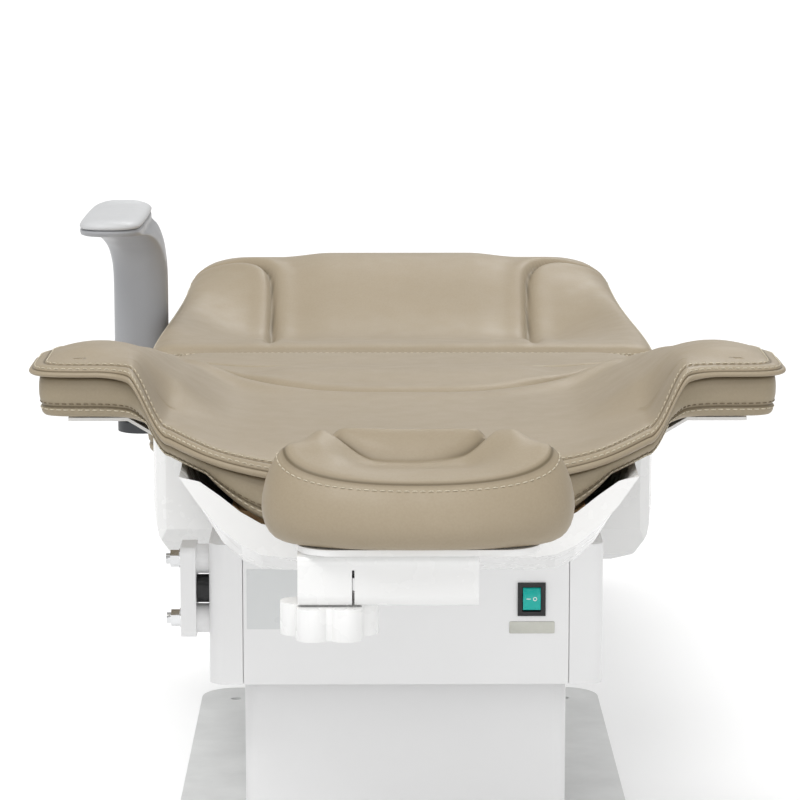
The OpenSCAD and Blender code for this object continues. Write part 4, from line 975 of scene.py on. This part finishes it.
def plate(name, x0, x1, z0, z1, back, thick, radius, material, body, edge=0.25):
    """A thin plate with rounded corners and softened edges, on a face that looks toward the head end."""
    half_x, half_z = (x1 - x0) / 2, (z1 - z0) / 2
    cx, cz = (x0 + x1) / 2, (z0 + z1) / 2
    corner_steps = 7
    rings = []
    for draw, out in ((0.0, 0.0), (0.0, thick - edge), (edge * 0.3, thick - edge * 0.3), (edge, thick)):
        ring = []
        for sx, sz, start in ((1, 1, 0), (-1, 1, 90), (-1, -1, 180), (1, -1, 270)):
            for k in range(corner_steps):
                a = math.radians(start + 90 / (corner_steps - 1) * k)
                r = radius - draw
                ring.append((cx + sx * (half_x - radius) + r * math.cos(a), back - out,
                             cz + sz * (half_z - radius) + r * math.sin(a)))
        rings.append(ring)
    count = len(rings[0])
    faces = ring_faces(count, len(rings))
    faces.append(list(range(count - 1, -1, -1)))
    faces.append(list(range((len(rings) - 1) * count, len(rings) * count)))
    piece = make_mesh(name, np.array(rings).reshape(-1, 3) * MM, faces, None, material, smooth=False)
    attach(piece, body)


# The rocker's pivot, its tilt at rest and its crowned face; the ring and the bar on it, and their relief
ROCKER_AT = (114.7, -428.0, 304.0)
ROCKER_TILT = math.radians(-7)
ROCKER_FACE, ROCKER_CROWN = -9.0, 0.026
RING_X, RING_IN, RING_OUT = 2.9, 1.15, 1.85
BAR_X, BAR_HALF, BAR_THICK = -3.0, 2.0, 0.38
MARK_SINK, MARK_TOP = -0.15, 0.16


def rocker_marks():
    """The generic I and O, moulded on the rocker's face."""
    count = 28
    turns = [2 * math.pi * i / count for i in range(count)]
    points, faces = [], []

    def place(x, z, out):
        y = ROCKER_FACE - out + ROCKER_CROWN * z * z
        return (ROCKER_AT[0] + x, ROCKER_AT[1] + y * math.cos(ROCKER_TILT) - z * math.sin(ROCKER_TILT),
                ROCKER_AT[2] + y * math.sin(ROCKER_TILT) + z * math.cos(ROCKER_TILT))

    section = ((RING_OUT, MARK_SINK), (RING_OUT, MARK_TOP), (RING_IN, MARK_TOP), (RING_IN, MARK_SINK))
    for radius, out in section:
        points.extend(place(RING_X + radius * math.cos(a), radius * math.sin(a), out) for a in turns)
    for k in range(len(section)):
        near, far = k * count, (k + 1) % len(section) * count
        for i in range(count):
            after = (i + 1) % count
            faces.append((near + i, near + after, far + after, far + i))

    bar = [(BAR_HALF * math.copysign(abs(math.cos(a)) ** 0.4, math.cos(a)),
            BAR_THICK * math.copysign(abs(math.sin(a)) ** 0.6, math.sin(a))) for a in turns]
    first = len(points)
    for shrink, out in ((1.0, MARK_SINK), (1.0, 0.12), (0.9, MARK_TOP), (0.45, MARK_TOP)):
        points.extend(place(BAR_X + x * shrink, z * shrink, out) for x, z in bar)
    faces += ring_faces(count, 4, first)
    faces.append(tuple(range(first + 3 * count, first + 4 * count)))
    faces.append(tuple(range(first + count - 1, first - 1, -1)))
    piece = make_mesh("rocker_marks", np.array(points) * MM, faces, None, MARK, smooth=False)
    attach(piece, "rocker")


rocker_marks()

PANEL_Y = -432.0
ON_PANEL = PANEL_Y - 0.02
plate("bare_label_film", -145.6, -99.2, 276.2, 332.3, ON_PANEL, 0.25, 1.0, LABEL, "lift", 0.1)
plate("bare_switch_plate", 94.5, 135.8, 272.0, 283.0, ON_PANEL, 0.8, 0.8, ZINC, "lift")

# ---------------------------------------------------------------- floor and light

FLOOR_HALF = 40.0
FLOOR_GLOW = 0.25
WORLD_LIGHT = 0.52


def floor():
    """A pale floor that keeps the shadow, a little brighter to the camera and in reflections."""
    bpy.ops.mesh.primitive_grid_add(x_subdivisions=40, y_subdivisions=40, size=2 * FLOOR_HALF)
    piece = bpy.context.object
    piece.name = "studio_floor"
    net = Net("floor_white")
    pale, shade = (0.80, 0.80, 0.80, 1), (0.78, 0.78, 0.78, 1)
    net.set(Base_Color=net.mix(net.noise(3, 2), pale, shade), Roughness=0.9, Specular_IOR_Level=0.0)
    path = net.add("ShaderNodeLightPath")
    seen = net.math("MAXIMUM", path.outputs["Is Camera Ray"],
                    net.math("MAXIMUM", path.outputs["Is Glossy Ray"], path.outputs["Is Transmission Ray"]))
    glow = net.add("ShaderNodeEmission")
    net.link(net.math("MULTIPLY", seen, FLOOR_GLOW), glow.inputs["Strength"])
    add = net.add("ShaderNodeAddShader")
    net.link(net.shader.outputs[0], add.inputs[0])
    net.link(glow.outputs[0], add.inputs[1])
    net.link(add.outputs[0], net.out.inputs["Surface"])
    piece.data.materials.append(net.material)


def studio_world():
    """Plain white light from all round, and a white background to the camera."""
    world = bpy.data.worlds.new("studio")
    bpy.context.scene.world = world
    world.use_nodes = True
    tree = world.node_tree
    tree.nodes.clear()
    out = tree.nodes.new("ShaderNodeOutputWorld")
    path = tree.nodes.new("ShaderNodeLightPath")
    shown = tree.nodes.new("ShaderNodeBackground")
    shown.inputs["Strength"].default_value = 1.0
    lit = tree.nodes.new("ShaderNodeBackground")
    lit.inputs["Color"].default_value = (1.0, 1.0, 1.0, 1)
    lit.inputs["Strength"].default_value = WORLD_LIGHT
    pick = tree.nodes.new("ShaderNodeMixShader")
    tree.links.new(path.outputs["Is Camera Ray"], pick.inputs[0])
    tree.links.new(lit.outputs[0], pick.inputs[1])
    tree.links.new(shown.outputs[0], pick.inputs[2])
    tree.links.new(pick.outputs[0], out.inputs["Surface"])


def sun(name, strength, spread, turn, height):
    """A soft sun that shines from turn degrees round from the camera and height degrees up."""
    data = bpy.data.lights.new(name, "SUN")
    data.energy = strength
    data.angle = math.radians(spread)
    lamp = bpy.data.objects.new(name, data)
    lamp.rotation_euler = (math.radians(90 - height), 0.0, math.radians(turn))
    bpy.context.scene.collection.objects.link(lamp)


floor()
studio_world()
sun("key_light", 1.6, 28, -30, 64)
sun("rim_light", 0.55, 20, 165, 40)
sun("front_light", 0.72, 60, 10, 10)
